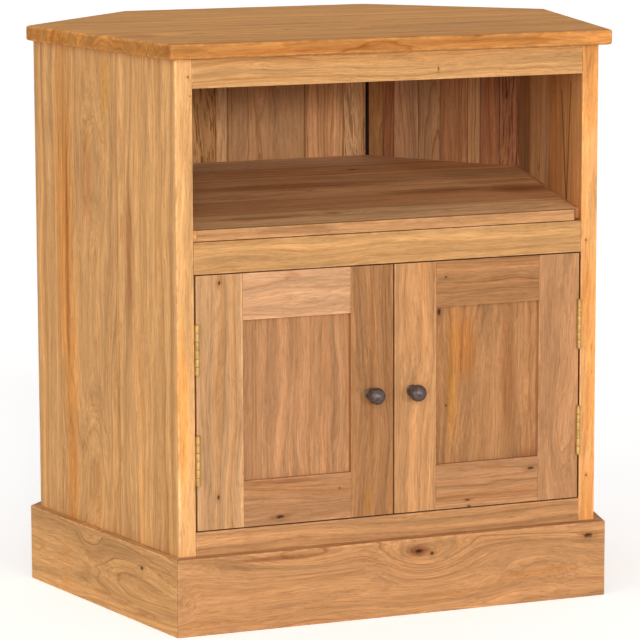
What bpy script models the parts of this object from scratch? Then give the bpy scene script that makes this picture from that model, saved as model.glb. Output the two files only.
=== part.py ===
"""Corner cabinet: a six-sided open niche over a cupboard with two framed doors.

Metres, +Z up, the doors face -Y. The origin is the centre of the foot of the whole
cabinet's box. Plan sizes are given with the body's front face on Y = 0 and the doorway's
middle on X = 0, and the finished cabinet is moved onto its origin once, at the end.
"""
import math

import bmesh
import bpy
from mathutils import Matrix, Vector

# Clearances shared by every fit
GAP = 0.0003            # between two pieces that touch
PULL = 0.6 * GAP        # each end of a mitred piece, along its length
OVERRUN = 0.004         # how far a cut runs past a face
EASE = 0.0008           # eased edge on planed boards
SEGMENTS = 20           # sides of a round piece

# Body plan
HALF_FRONT = 0.2904     # half width of the front
HALF_WIDE = 0.3657      # half width where side meets diagonal back
SIDE_DEPTH = 0.357      # from the front to that corner
DIAGONAL_DEPTH = 0.1868 # the same inwards, so the diagonals stand at 45 degrees
BODY_DEPTH = SIDE_DEPTH + DIAGONAL_DEPTH
HALF_REAR = HALF_WIDE - DIAGONAL_DEPTH
SIDE_T = 0.022
BACK_T = 0.020
DIAGONAL_T = 0.0145     # the diagonal backs are of thinner boards
REAR_SEAM = 0.005       # open joint at the rear panel's right end

# Heights
HEIGHT = 0.750
TOP_T = 0.0195
TOP_FRONT_OVERHANG = 0.012
TOP_RIGHT_OVERHANG = 0.0165
TOP_RIGHT_DIAGONAL_OVERHANG = 0.0145
TOP_REAR_OVERHANG = 0.0122
TOP_LEFT_DIAGONAL_OVERHANG = 0.0055
TOP_LEFT_OVERHANG = 0.012
TOP_CORNER_R = 0.005
TOP_CORNER_STEPS = 6
TOP_EDGE_R = 0.003
TOP_EDGE_STEPS = 4
TOP_UNDER = HEIGHT - TOP_T
PLINTH_H = 0.1005
PLINTH_T = 0.012
PLINTH_FRONT_T = 0.0165
RAIL_T = 0.022
UPPER_RAIL_H = 0.037
MIDDLE_RAIL_Z = 0.4602
MIDDLE_RAIL_H = 0.0407
BOTTOM_RAIL_Z = 0.060
BOTTOM_RAIL_H = 0.0705

# Niche shelf
SHELF_LIFT = 0.001      # dark joint between the rail and the shelf on its cleats
SHELF_Z = MIDDLE_RAIL_Z + MIDDLE_RAIL_H + SHELF_LIFT    # underside at the front
SHELF_T = 0.014
SHELF_RISE = 0.037      # rise per metre of depth, as photographed
SHELF_CLIP_X = 0.0085   # clipped right front corner, along the front
SHELF_CLIP_Y = 0.013    # and back from it
SCRIBE_W = 0.004        # strip filling the gap beside the shelf
CLEAT_W = 0.018
CLEAT_H = 0.016
CLEAT_SETBACK = 0.030

# Cupboard floor
FLOOR_DROP = 0.0025     # from the top of the bottom rail to the floor
FLOOR_T = 0.016
FLOOR_Z = BOTTOM_RAIL_Z + BOTTOM_RAIL_H - FLOOR_DROP - FLOOR_T

# Doors
DOOR_T = 0.020
DOOR_FOOT_GAP = 0.0018
DOOR_HEAD_GAP = 0.0016
DOOR_Z = BOTTOM_RAIL_Z + BOTTOM_RAIL_H + DOOR_FOOT_GAP
DOOR_TOP = MIDDLE_RAIL_Z - DOOR_HEAD_GAP
HINGE_GAP = 0.0026
CENTRE_GAP = 0.0024
MEET_X = 0.003          # the doors meet a little right of the middle
HINGE_STILE_W = {"left": 0.062, "right": 0.057}
LOCK_STILE_W = 0.059
DOOR_RAIL_W = 0.0595
GROOVE_D = 0.008
GROOVE_W = 0.0064
PANEL_T = GROOVE_W - 2 * GAP
PANEL_PLAY = 0.0005     # room for the panel at the foot of its groove
PANEL_EDGE = GROOVE_D - PANEL_PLAY

# Hinges
LEAF_T = 0.0008
LEAF_REACH = 0.017
HINGE_L = 0.064
HINGE_INSET_TOP = 0.0936
HINGE_INSET_FOOT = 0.0907
HINGE_Z = (DOOR_TOP - HINGE_INSET_TOP, DOOR_Z + HINGE_INSET_FOOT)
KNUCKLES = 6
KNUCKLE_R = 0.0025
BORE_R = 0.00148
PIN_R = 0.00140
PIN_CAP_R = 0.0021
PIN_CAP_H = 0.001
PIN_CAP_TIP_SHARE = 0.7
PIN_CAP_WALL_SHARE = 0.5
AXIS_PROUD = 0.0028     # axis in front of the door's face
AXIS_IN = GAP           # axis inside the door's edge
LEAF_START = 0.003      # where the leaf's plate begins, back from the axis
FINGER_END = 0.0016     # where a finger meets its knuckle
SCREW_Y = 0.010
SCREW_STEP = 0.022
HEAD_R = 0.0022
HEAD_H = 0.0009
HEAD_RIM_SHARE = 0.15   # part of a head's height that is straight
SHANK_R = 0.0012
SCREW_L = 0.0118
HOLE_SIDES = 12

# Knobs
KNOB_UP = 0.1602         # from the door's foot
KNOB_Z = DOOR_Z + KNOB_UP
KNOB_X = 0.0286         # from the middle of the case
BALL_R = 0.011
BALL_OUT = 0.0195
COLLAR_R = 0.008
COLLAR_H = 0.003
NECK_R = 0.0052
KNOB_SCREW_R = 0.002
KNOB_SCREW_HEAD_R = 0.004
KNOB_SCREW_HEAD_H = 0.002
KNOB_BORE = 0.013
KNOB_SCREW_TIP_GAP = 0.0012
KNOB_SIDES = 28
KNOB_STEPS = 11
COLLAR_WALL_SHARE = 0.5
COLLAR_LIP_SHARE = 0.86
NECK_FOOT_SHARE = 1.5
SCREW_DOME_SHARE = 0.6
SCREW_CROWN_SHARE = 0.7

# Door stop with its magnets
STOP_HALF = 0.030
STOP_D = 0.016
STRIKE_DROP = 0.0086    # strike plate's centre below the door's top
MAGNET_Z = DOOR_TOP - STRIKE_DROP
STOP_SKIRT = 0.009      # block below the magnet's centre
STOP_Z = MAGNET_Z - STOP_SKIRT
STOP_H = 0.045
MAGNET_HALF = 0.024
MAGNET_H = 0.009
MAGNET_T = 0.003
STRIKE_X = 0.0155
STRIKE_R = 0.007
STRIKE_T = 0.0012

# Plan outline, anticlockwise from the front left corner
PLAN = [
    (-HALF_FRONT, 0.0), (HALF_FRONT, 0.0), (HALF_WIDE, SIDE_DEPTH),
    (HALF_REAR, BODY_DEPTH), (-HALF_REAR, BODY_DEPTH), (-HALF_WIDE, SIDE_DEPTH),
]
FRONT, RIGHT, RIGHT_DIAGONAL, REAR, LEFT_DIAGONAL, LEFT = range(6)

TEAK = (0.62, 0.36, 0.17)
TEAK_LIGHT = (0.72, 0.44, 0.21)
TEAK_DARK = (0.42, 0.22, 0.10)
BRASS = (0.78, 0.58, 0.22)
BRONZE = (0.10, 0.075, 0.06)
STEEL = (0.45, 0.45, 0.46)


def clear_scene():
    for item in list(bpy.data.objects):
        bpy.data.objects.remove(item, do_unlink=True)


def material(name, colour, roughness, metallic):
    mat = bpy.data.materials.new(name)
    mat.use_nodes = True
    shader = mat.node_tree.nodes["Principled BSDF"]
    shader.inputs["Base Color"].default_value = (*colour, 1.0)
    shader.inputs["Roughness"].default_value = roughness
    shader.inputs["Metallic"].default_value = metallic
    mat.diffuse_color = (*colour, 1.0)
    return mat


def offset(points, distances):
    """Move each edge of a closed outline outwards and intersect neighbours."""
    lines = []
    count = len(points)
    for i in range(count):
        p = Vector(points[i])
        q = Vector(points[(i + 1) % count])
        along = (q - p).normalized()
        out = Vector((along.y, -along.x))
        lines.append((p + out * distances[i], along))
    result = []
    for i in range(count):
        (p, u), (q, v) = lines[i - 1], lines[i]
        t = (q - p).cross(v) / u.cross(v)
        result.append(tuple(p + u * t))
    return result


def pull_ends(quad, first, last):
    """Shorten a piece with corners outer 1, outer 2, inner 2, inner 1 along its length."""
    a, b, c, d = (Vector(p) for p in quad)
    along = (b - a).normalized()
    return [a + along * first, b - along * last, c - along * last, d + along * first]


def prism(points, low, high, slope=0.0):
    """Upright block on a plan outline; slope tilts its top and bottom along Y."""
    bm = bmesh.new()
    bottom = [bm.verts.new((p[0], p[1], low + slope * p[1])) for p in points]
    top = [bm.verts.new((p[0], p[1], high + slope * p[1])) for p in points]
    bm.faces.new(list(reversed(bottom)))
    bm.faces.new(top)
    count = len(points)
    for i in range(count):
        j = (i + 1) % count
        bm.faces.new((bottom[i], bottom[j], top[j], top[i]))
    return bm


def box(low, high):
    outline = [(low[0], low[1]), (high[0], low[1]), (high[0], high[1]), (low[0], high[1])]
    return prism(outline, low[2], high[2])


def ease(bm, amount=EASE, segments=1):
    bmesh.ops.recalc_face_normals(bm, faces=bm.faces)
    bmesh.ops.bevel(bm, geom=list(bm.edges), offset=amount, offset_type='OFFSET',
                    segments=segments, profile=0.5, affect='EDGES', clamp_overlap=True)
    return bm


def round_slab(bm):
    """Round the upright corners, then the upper and lower edges."""
    upright = [e for e in bm.edges if abs(e.verts[0].co.z - e.verts[1].co.z) > TOP_T / 2]
    bmesh.ops.bevel(bm, geom=upright, offset=TOP_CORNER_R, offset_type='OFFSET',
                    segments=TOP_CORNER_STEPS, profile=0.5, affect='EDGES', clamp_overlap=True)
    rim = [e for e in bm.edges if abs(e.verts[0].co.z - e.verts[1].co.z) < TOP_T / 2]
    bmesh.ops.bevel(bm, geom=rim, offset=TOP_EDGE_R, offset_type='OFFSET',
                    segments=TOP_EDGE_STEPS, profile=0.5, affect='EDGES', clamp_overlap=True)
    return bm


def lathe(profile, segments=SEGMENTS):
    """Turn (radius, height) pairs about local Z; a zero radius closes an end."""
    bm = bmesh.new()
    rings = []
    for radius, height in profile:
        if radius == 0.0:
            rings.append([bm.verts.new((0.0, 0.0, height))])
            continue
        ring = []
        for k in range(segments):
            angle = 2.0 * math.pi * k / segments
            ring.append(bm.verts.new((radius * math.cos(angle), radius * math.sin(angle), height)))
        rings.append(ring)
    for lower, upper in zip(rings, rings[1:]):
        for k in range(segments):
            j = (k + 1) % segments
            if len(lower) == 1:
                bm.faces.new((lower[0], upper[j], upper[k]))
            elif len(upper) == 1:
                bm.faces.new((lower[k], lower[j], upper[0]))
            else:
                bm.faces.new((lower[k], lower[j], upper[j], upper[k]))
    bmesh.ops.recalc_face_normals(bm, faces=bm.faces)
    return bm


def ring(inner, outer, low, high, segments=SEGMENTS):
    return lathe_closed([(inner, low), (outer, low), (outer, high), (inner, high)], segments)


def lathe_closed(profile, segments):
    """Turn a closed (radius, height) loop about local Z, which leaves a bore."""
    bm = bmesh.new()
    rings = []
    for radius, height in profile:
        rings.append([bm.verts.new((radius * math.cos(2.0 * math.pi * k / segments),
                                    radius * math.sin(2.0 * math.pi * k / segments), height))
                      for k in range(segments)])
    for i, lower in enumerate(rings):
        upper = rings[(i + 1) % len(rings)]
        for k in range(segments):
            j = (k + 1) % segments
            bm.faces.new((lower[k], lower[j], upper[j], upper[k]))
    bmesh.ops.recalc_face_normals(bm, faces=bm.faces)
    return bm


def moved(bm, matrix):
    bmesh.ops.transform(bm, matrix=matrix, verts=bm.verts)
    return bm


def group(pieces):
    """Put several separate solids in one mesh."""
    result = bmesh.new()
    for piece in pieces:
        mesh = bpy.data.meshes.new("piece")
        piece.to_mesh(mesh)
        piece.free()
        result.from_mesh(mesh)
        bpy.data.meshes.remove(mesh)
    return result


def as_object(name, bm):
    mesh = bpy.data.meshes.new(name)
    bmesh.ops.recalc_face_normals(bm, faces=bm.faces)
    bm.to_mesh(mesh)
    bm.free()
    obj = bpy.data.objects.new(name, mesh)
    bpy.context.scene.collection.objects.link(obj)
    return obj


def shaped(bm, operation, tool):
    """Add or take away a tool with an exact Boolean and return the new mesh."""
    body = as_object("body", bm)
    cutter = as_object("tool", tool)
    mod = body.modifiers.new("shape", 'BOOLEAN')
    mod.operation = operation
    mod.solver = 'EXACT'
    mod.object = cutter
    graph = bpy.context.evaluated_depsgraph_get()
    mesh = bpy.data.meshes.new_from_object(body.evaluated_get(graph))
    result = bmesh.new()
    result.from_mesh(mesh)
    bmesh.ops.remove_doubles(result, verts=result.verts, dist=0.000001)
    for item in (body, cutter):
        bpy.data.objects.remove(item, do_unlink=True)
    bpy.data.meshes.remove(mesh)
    return result


def piece(name, bm, colour, roughness=0.55, metallic=0.0, pivot=None, smooth=False):
    """Finish a node: its own origin, place and material."""
    obj = as_object(name, bm)
    if pivot is None:
        low = Vector([min(v.co[k] for v in obj.data.vertices) for k in range(3)])
        high = Vector([max(v.co[k] for v in obj.data.vertices) for k in range(3)])
        pivot = (low + high) / 2
    obj.data.transform(Matrix.Translation(-Vector(pivot)))
    obj.location = Vector(pivot)
    if smooth:
        obj.data.shade_smooth()
        obj.data.set_sharp_from_angle(angle=math.radians(35))
    obj.data.materials.append(material(name, colour, roughness, metallic))
    return obj


INNER = offset(PLAN, [0.0, -SIDE_T, -DIAGONAL_T, -BACK_T, -DIAGONAL_T, -SIDE_T])
FLARE = math.atan2(HALF_WIDE - HALF_FRONT, SIDE_DEPTH)
OPENING = INNER[1][0]                       # half width between the front strips
DOOR_EDGE = OPENING - HINGE_GAP
AXIS_X = DOOR_EDGE - AXIS_IN


def clear_half(depth, clearance=GAP):
    """Half width between the side panels at a depth, less a clearance."""
    return OPENING + depth * math.tan(FLARE) - clearance / math.cos(FLARE)


def between_sides(front, back):
    a, b = clear_half(front), clear_half(back)
    return [(-a, front), (a, front), (b, back), (-b, back)]


def at_depth(p, q, depth):
    """Point of the line through p and q at a depth."""
    t = (depth - p[1]) / (q[1] - p[1])
    return (p[0] + t * (q[0] - p[0]), depth)


def screw_matrix(point, direction):
    """Stand a part made along -Z at a point, driving along a direction."""
    turn = Vector((0.0, 0.0, -1.0)).rotation_difference(Vector(direction))
    return Matrix.Translation(Vector(point)) @ turn.to_matrix().to_4x4()


def leaf_hole():
    """Countersunk hole for one hinge screw, made along -Z with its mouth at zero."""
    r = SHANK_R + GAP
    return lathe([(0.0, -SCREW_L - GAP), (r, -SCREW_L - GAP), (r, -HEAD_H - GAP),
                  (HEAD_R + GAP, -HEAD_H * HEAD_RIM_SHARE), (HEAD_R + GAP, OVERRUN),
                  (0.0, OVERRUN)], HOLE_SIDES)


def case_walls(frame_holes):
    """Two side panels, two diagonal backs and the rear panel."""
    outer, inner = PLAN, INNER
    for name, i in (("right_side_panel", RIGHT), ("left_side_panel", LEFT)):
        j = (i + 1) % 6
        quad = [outer[i], outer[j], inner[j], inner[i]]
        ends = (0.0, PULL) if i == RIGHT else (PULL, 0.0)
        quad = pull_ends(quad, *ends)
        bm = ease(prism(quad, 0.0, TOP_UNDER - GAP))
        side = "left" if i == LEFT else "right"
        piece(name, shaped(bm, 'DIFFERENCE', frame_holes[side]), TEAK)
    rear_y, face_y = BODY_DEPTH, BODY_DEPTH - BACK_T
    right_out = at_depth(inner[2], inner[3], rear_y)
    right_in = at_depth(inner[2], inner[3], face_y)
    for name, sign in (("right_diagonal_back_panel", 1.0), ("left_diagonal_back_panel", -1.0)):
        quad = [outer[2], outer[3], right_out, inner[2]]
        quad = pull_ends(quad, PULL, 0.0)
        quad = [(sign * p[0], p[1]) for p in quad]
        piece(name, ease(prism(quad, 0.0, TOP_UNDER - GAP)), TEAK)
    near = GAP / math.sin(math.radians(45))
    rear = [(-right_in[0] + near, face_y), (right_in[0] - REAR_SEAM, face_y),
            (right_out[0] - REAR_SEAM, rear_y), (-right_out[0] + near, rear_y)]
    piece("rear_back_panel", ease(prism(rear, 0.0, TOP_UNDER - GAP)), TEAK)


def rails():
    for name, low, high in (("upper_front_rail", TOP_UNDER - UPPER_RAIL_H, TOP_UNDER - GAP),
                            ("middle_front_rail", MIDDLE_RAIL_Z, MIDDLE_RAIL_Z + MIDDLE_RAIL_H),
                            ("bottom_front_rail", BOTTOM_RAIL_Z, BOTTOM_RAIL_Z + BOTTOM_RAIL_H)):
        piece(name, ease(prism(between_sides(0.0, RAIL_T), low, high), EASE / 2), TEAK_LIGHT)


def top():
    reach = [TOP_FRONT_OVERHANG, TOP_RIGHT_OVERHANG, TOP_RIGHT_DIAGONAL_OVERHANG,
             TOP_REAR_OVERHANG, TOP_LEFT_DIAGONAL_OVERHANG, TOP_LEFT_OVERHANG]
    piece("top_panel", round_slab(prism(offset(PLAN, reach), TOP_UNDER, HEIGHT)), TEAK)


def plinth():
    outer = offset(PLAN, [PLINTH_FRONT_T] + [PLINTH_T] * 5)
    inner = offset(PLAN, [GAP] * 6)
    names = ("plinth_front", "plinth_right", "plinth_right_diagonal",
             "plinth_rear", "plinth_left_diagonal", "plinth_left")
    for i, name in enumerate(names):
        j = (i + 1) % 6
        quad = pull_ends([outer[i], outer[j], inner[j], inner[i]], PULL, PULL)
        piece(name, ease(prism(quad, 0.0, PLINTH_H)), TEAK)


def shelf():
    """The shelf, clipped at its right front corner, and the strips beside it."""
    edge = SCRIBE_W + 2 * GAP
    outline = offset(INNER, [0.0, -edge, -GAP, -GAP, -GAP, -edge])
    tip = clear_half(SHELF_CLIP_Y, edge)
    outline = [outline[0], (tip - SHELF_CLIP_X, 0.0), (tip, SHELF_CLIP_Y), *outline[2:]]
    bm = ease(prism(outline, SHELF_Z, SHELF_Z + SHELF_T, SHELF_RISE), EASE / 2)
    piece("niche_shelf", bm, TEAK_DARK)
    far = offset(INNER, [0.0, -GAP, -GAP, -GAP, -GAP, -GAP])
    near = offset(INNER, [0.0, -GAP - SCRIBE_W, -GAP, -GAP, -GAP, -GAP - SCRIBE_W])
    for name, sign, front in (("right_shelf_scribe_strip", 1.0, SHELF_CLIP_Y),
                              ("left_shelf_scribe_strip", -1.0, 0.0)):
        strip = [(clear_half(front, SCRIBE_W + GAP), front), (clear_half(front), front),
                 far[2], near[2]]
        quad = [(sign * p[0], p[1]) for p in strip]
        piece(name, prism(quad, SHELF_Z, SHELF_Z + SHELF_T, SHELF_RISE), TEAK_LIGHT)


def side_cleat(setback, stop, width):
    """Plan of a right-hand cleat lying along the side panel's inner face."""
    return [(clear_half(setback, GAP + width), setback), (clear_half(setback), setback),
            (clear_half(stop), stop), (clear_half(stop, GAP + width), stop)]


def cleats():
    rear_face = BODY_DEPTH - BACK_T - GAP
    stop = INNER[2][1] - CLEAT_W
    rear_half = INNER[3][0] - CLEAT_W
    rear = [(-rear_half, rear_face - CLEAT_W), (rear_half, rear_face - CLEAT_W),
            (rear_half, rear_face), (-rear_half, rear_face)]
    rows = (("shelf_cleat", SHELF_Z - GAP, SHELF_RISE), ("floor_cleat", FLOOR_Z - GAP, 0.0))
    for kind, high, slope in rows:
        for side, sign in (("right", 1.0), ("left", -1.0)):
            quad = [(sign * x, y) for x, y in side_cleat(CLEAT_SETBACK, stop, CLEAT_W)]
            piece(side + "_" + kind, ease(prism(quad, high - CLEAT_H, high, slope)), TEAK_DARK)
        piece("rear_" + kind, ease(prism(rear, high - CLEAT_H, high, slope)), TEAK_DARK)
    high = TOP_UNDER - GAP
    for side, sign in (("right", 1.0), ("left", -1.0)):
        quad = [(sign * x, y) for x, y in side_cleat(CLEAT_SETBACK, stop, CLEAT_W)]
        piece(side + "_top_cleat", ease(prism(quad, high - CLEAT_H, high)), TEAK_DARK)


def floor():
    outline = offset(INNER, [-RAIL_T - GAP] + [-GAP] * 5)
    piece("cupboard_floor", ease(prism(outline, FLOOR_Z, FLOOR_Z + FLOOR_T), EASE / 2), TEAK_DARK)


def door_stop():
    y = RAIL_T + GAP
    bm = ease(box((-STOP_HALF, y, STOP_Z), (STOP_HALF, y + STOP_D, STOP_Z + STOP_H)), EASE / 2)
    low, high = MAGNET_Z - MAGNET_H / 2, MAGNET_Z + MAGNET_H / 2
    seat = box((-MAGNET_HALF - GAP, y - OVERRUN, low - GAP),
               (MAGNET_HALF + GAP, y + MAGNET_T + GAP, high + GAP))
    piece("door_stop_block", shaped(bm, 'DIFFERENCE', seat), TEAK_DARK)
    bar = box((-MAGNET_HALF, y, low), (MAGNET_HALF, y + MAGNET_T, high))
    piece("stop_magnet", bar, STEEL, 0.35, 1.0)


def leaf(side_of_gap, turn, owned, inner_face):
    """Hinge leaf about its axis: plate towards +Y, knuckles in the owned slots.

    side_of_gap is -1 or 1; the plate's faces lie at inner_face and LEAF_T further out.
    """
    half = HINGE_L / 2
    slot = HINGE_L / KNUCKLES
    near, far = sorted((side_of_gap * inner_face, side_of_gap * (inner_face + LEAF_T)))
    bm = box((near, LEAF_START, -half + GAP / 2), (far, LEAF_REACH, half - GAP / 2))
    for k in owned:
        low, high = half - (k + 1) * slot + GAP / 2, half - k * slot - GAP / 2
        finger = box((near, FINGER_END, low), (far, LEAF_START + 2 * GAP, high))
        bm = shaped(bm, 'UNION', finger)
        bm = shaped(bm, 'UNION', ring(BORE_R, KNUCKLE_R, low, high))
    return moved(bm, Matrix.Rotation(turn, 4, 'Z'))


def leaf_screws(side_of_gap, turn, inner_face):
    """Where a leaf's screws stand and which way they drive, about the hinge's axis."""
    spin = Matrix.Rotation(turn, 4, 'Z')
    places = []
    for k in (-1, 0, 1):
        point = spin @ Vector((side_of_gap * inner_face, SCREW_Y, k * SCREW_STEP))
        places.append((point, spin @ Vector((side_of_gap, 0.0, 0.0))))
    return places


# The frame leaf lies on the flared side panel, the door leaf on the door's square edge
FRAME_FACE = (HINGE_GAP + AXIS_IN) * math.cos(FLARE) - AXIS_PROUD * math.sin(FLARE) - GAP - LEAF_T
DOOR_FACE = AXIS_IN + GAP


def axis_point(sign, z=0.0):
    return Vector((sign * AXIS_X, -AXIS_PROUD, z))


def hinge_parts(sign):
    """Screw places in cabinet sizes for one door: on the frame and on the door."""
    frame, door = [], []
    for z in HINGE_Z:
        base = axis_point(sign, z)
        for point, way in leaf_screws(sign, -sign * FLARE, FRAME_FACE):
            frame.append((base + point, way))
        for point, way in leaf_screws(sign, 0.0, DOOR_FACE):
            door.append((base + point, -way))
    return frame, door


def hinges():
    for side, sign in (("left", -1.0), ("right", 1.0)):
        odd, even = (0, 2, 4), (1, 3, 5)
        frame_slots = odd if side == "left" else even
        door_slots = even if side == "left" else odd
        frame, door = hinge_parts(sign)
        for level, z in zip(("upper", "lower"), HINGE_Z):
            base = Matrix.Translation(axis_point(sign, z))
            at = axis_point(sign, z)
            cut = group([moved(leaf_hole(), screw_matrix(p, w)) for p, w in frame
                         if abs(p.z - z) < HINGE_L / 2])
            bm = moved(leaf(sign, -sign * FLARE, frame_slots, FRAME_FACE), base)
            piece(side + "_" + level + "_hinge_frame_leaf", shaped(bm, 'DIFFERENCE', cut),
                  BRASS, 0.3, 1.0, pivot=at, smooth=True)
            cut = group([moved(leaf_hole(), door_leaf_screw(p, w)) for p, w in door
                         if abs(p.z - z) < HINGE_L / 2])
            bm = moved(leaf(sign, 0.0, door_slots, DOOR_FACE), base)
            piece(side + "_" + level + "_hinge_door_leaf", shaped(bm, 'DIFFERENCE', cut),
                  BRASS, 0.3, 1.0, pivot=axis_point(sign), smooth=True)
        half = HINGE_L / 2
        tip, wall = PIN_CAP_R * PIN_CAP_TIP_SHARE, PIN_CAP_H * PIN_CAP_WALL_SHARE
        upper = [(PIN_R, half + GAP), (PIN_CAP_R, half + GAP), (PIN_CAP_R, half + GAP + wall),
                 (tip, half + GAP + PIN_CAP_H), (0.0, half + GAP + PIN_CAP_H)]
        profile = [(radius, -height) for radius, height in reversed(upper)] + upper
        for level, z in zip(("upper", "lower"), HINGE_Z):
            pin = moved(lathe(profile), Matrix.Translation(axis_point(sign, z)))
            piece(side + "_" + level + "_hinge_pin", pin, BRASS, 0.3, 1.0,
                  pivot=axis_point(sign, z), smooth=True)


def door_leaf_screw(point, way):
    """A door leaf's screw enters from the gap, so its head sits on the leaf's outer face."""
    return screw_matrix(point - way * LEAF_T, way)


def ball_knob():
    """Knob turned about local Z, its foot at zero, with a blind bore for its screw."""
    joint = math.asin(NECK_R / BALL_R)
    profile = [(0.0, 0.0), (COLLAR_R, 0.0), (COLLAR_R, COLLAR_H * COLLAR_WALL_SHARE),
               (COLLAR_R * COLLAR_LIP_SHARE, COLLAR_H), (NECK_R, COLLAR_H * NECK_FOOT_SHARE)]
    for k in range(KNOB_STEPS + 1):
        angle = joint + (math.pi - joint) * k / KNOB_STEPS
        radius = BALL_R * math.sin(angle) if k < KNOB_STEPS else 0.0
        profile.append((radius, BALL_OUT - BALL_R * math.cos(angle)))
    bore = [(0.0, -OVERRUN), (KNOB_SCREW_R + GAP, -OVERRUN), (KNOB_SCREW_R + GAP, KNOB_BORE),
            (0.0, KNOB_BORE)]
    return shaped(lathe(profile, KNOB_SIDES), 'DIFFERENCE', lathe(bore))


# Turns a prism made on (Y, Z) outlines so that its length runs along X
LAID_DOWN = Matrix(((0, 0, 1, 0), (1, 0, 0, 0), (0, 1, 0, 0), (0, 0, 0, 1)))


def door(side):
    """Framed door: two grooved stiles, two grooved rails with tongues, a flat panel."""
    sign = -1.0 if side == "left" else 1.0
    pivot = axis_point(sign)
    edge = DOOR_EDGE
    hinge_in = edge - HINGE_STILE_W[side]
    lock_out = sign * MEET_X + CENTRE_GAP / 2
    lock_in = lock_out + LOCK_STILE_W - GAP * 3
    mid = DOOR_T / 2
    g0, g1 = mid - GROOVE_W / 2, mid + GROOVE_W / 2
    p0, p1 = mid - PANEL_T / 2, mid + PANEL_T / 2

    def put(name, bm, **more):
        piece(side + "_door_" + name, moved(bm, Matrix.Scale(sign, 4, (1, 0, 0))), pivot=pivot,
              **more)

    def stile(outer, inner):
        way = 1.0 if inner > outer else -1.0
        deep = inner - way * GROOVE_D
        outline = [(outer, 0.0), (inner, 0.0), (inner, g0), (deep, g0), (deep, g1), (inner, g1),
                   (inner, DOOR_T), (outer, DOOR_T)]
        return ease(prism(outline, DOOR_Z, DOOR_TOP), EASE)

    drill = [moved(leaf_hole(), Matrix.Scale(sign, 4, (1, 0, 0)) @ door_leaf_screw(p, w))
             for p, w in hinge_parts(sign)[1]]
    put("hinge_stile", shaped(stile(edge, hinge_in), 'DIFFERENCE', group(drill)), colour=TEAK)
    bore = lathe([(0.0, -OVERRUN), (KNOB_SCREW_R + GAP, -OVERRUN),
                  (KNOB_SCREW_R + GAP, DOOR_T + OVERRUN), (0.0, DOOR_T + OVERRUN)])
    along_bore = Matrix.Rotation(-math.pi / 2, 4, 'X')
    bore = moved(bore, Matrix.Translation((KNOB_X, 0.0, KNOB_Z)) @ along_bore)
    put("lock_stile", shaped(stile(lock_out, lock_in), 'DIFFERENCE', bore), colour=TEAK)

    left, right = lock_in + GAP, hinge_in - GAP
    tongue = GROOVE_D - GAP
    for name, outer, inner in (("bottom_rail", DOOR_Z, DOOR_Z + DOOR_RAIL_W),
                               ("top_rail", DOOR_TOP, DOOR_TOP - DOOR_RAIL_W)):
        way = 1.0 if inner > outer else -1.0
        deep = inner - way * GROOVE_D
        outline = [(0.0, outer), (0.0, inner), (g0, inner), (g0, deep), (g1, deep), (g1, inner),
                   (DOOR_T, inner), (DOOR_T, outer)]
        bm = ease(moved(prism(outline, left, right), LAID_DOWN), EASE)
        low, high = sorted((outer + way * GAP, deep - way * GAP))
        for a, b in ((left - tongue, left + tongue), (right - tongue, right + tongue)):
            bm = shaped(bm, 'UNION', box((a, p0, low), (b, p1, high)))
        put(name, bm, colour=TEAK_LIGHT)
    low, high = DOOR_Z + DOOR_RAIL_W - PANEL_EDGE, DOOR_TOP - DOOR_RAIL_W + PANEL_EDGE
    put("panel", box((lock_in - PANEL_EDGE, p0, low), (hinge_in + PANEL_EDGE, p1, high)), colour=TEAK)

    stand = Matrix.Translation((KNOB_X, -GAP, KNOB_Z)) @ Matrix.Rotation(math.pi / 2, 4, 'X')
    put("knob", moved(ball_knob(), stand), colour=BRONZE, roughness=0.42, metallic=0.8, smooth=True)
    back = DOOR_T + GAP
    tip = -GAP - KNOB_BORE + KNOB_SCREW_TIP_GAP
    length = back - tip
    screw = lathe([(0.0, 0.0), (KNOB_SCREW_R, 0.0), (KNOB_SCREW_R, length),
                   (KNOB_SCREW_HEAD_R, length),
                   (KNOB_SCREW_HEAD_R, length + KNOB_SCREW_HEAD_H * SCREW_DOME_SHARE),
                   (KNOB_SCREW_HEAD_R * SCREW_CROWN_SHARE, length + KNOB_SCREW_HEAD_H),
                   (0.0, length + KNOB_SCREW_HEAD_H)])
    place = Matrix.Translation((KNOB_X, tip, KNOB_Z)) @ along_bore
    put("knob_screw", moved(screw, place), colour=STEEL, roughness=0.35, metallic=1.0, smooth=True)
    disc = lathe([(0.0, 0.0), (STRIKE_R, 0.0), (STRIKE_R, STRIKE_T), (0.0, STRIKE_T)])
    place = Matrix.Translation((STRIKE_X, back, MAGNET_Z)) @ along_bore
    put("strike_plate", moved(disc, place), colour=STEEL, roughness=0.35, metallic=1.0, smooth=True)


def stand_on_origin():
    """Move every piece alike until the origin is the centre of the whole box's foot."""
    points = [obj.location + v.co for obj in bpy.data.objects for v in obj.data.vertices]
    for axis in (0, 1):
        reach = [p[axis] for p in points]
        middle = (min(reach) + max(reach)) / 2
        for obj in bpy.data.objects:
            obj.location[axis] -= middle


def main():
    clear_scene()
    frame_holes = {}
    for side, sign in (("left", -1.0), ("right", 1.0)):
        frame_holes[side] = group([moved(leaf_hole(), screw_matrix(p, w))
                                   for p, w in hinge_parts(sign)[0]])
    case_walls(frame_holes)
    rails()
    plinth()
    shelf()
    cleats()
    floor()
    door_stop()
    hinges()
    for side in ("left", "right"):
        door(side)
    top()
    stand_on_origin()


main()
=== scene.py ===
"""Corner cabinet in oiled teak: an open niche over two framed doors.

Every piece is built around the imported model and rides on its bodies. Metres, +Z up,
and the doors face -Y.
"""
import math

import bpy
import numpy as np
from bpy.props import FloatProperty, FloatVectorProperty, PointerProperty
from mathutils import Matrix, Vector, geometry


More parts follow.
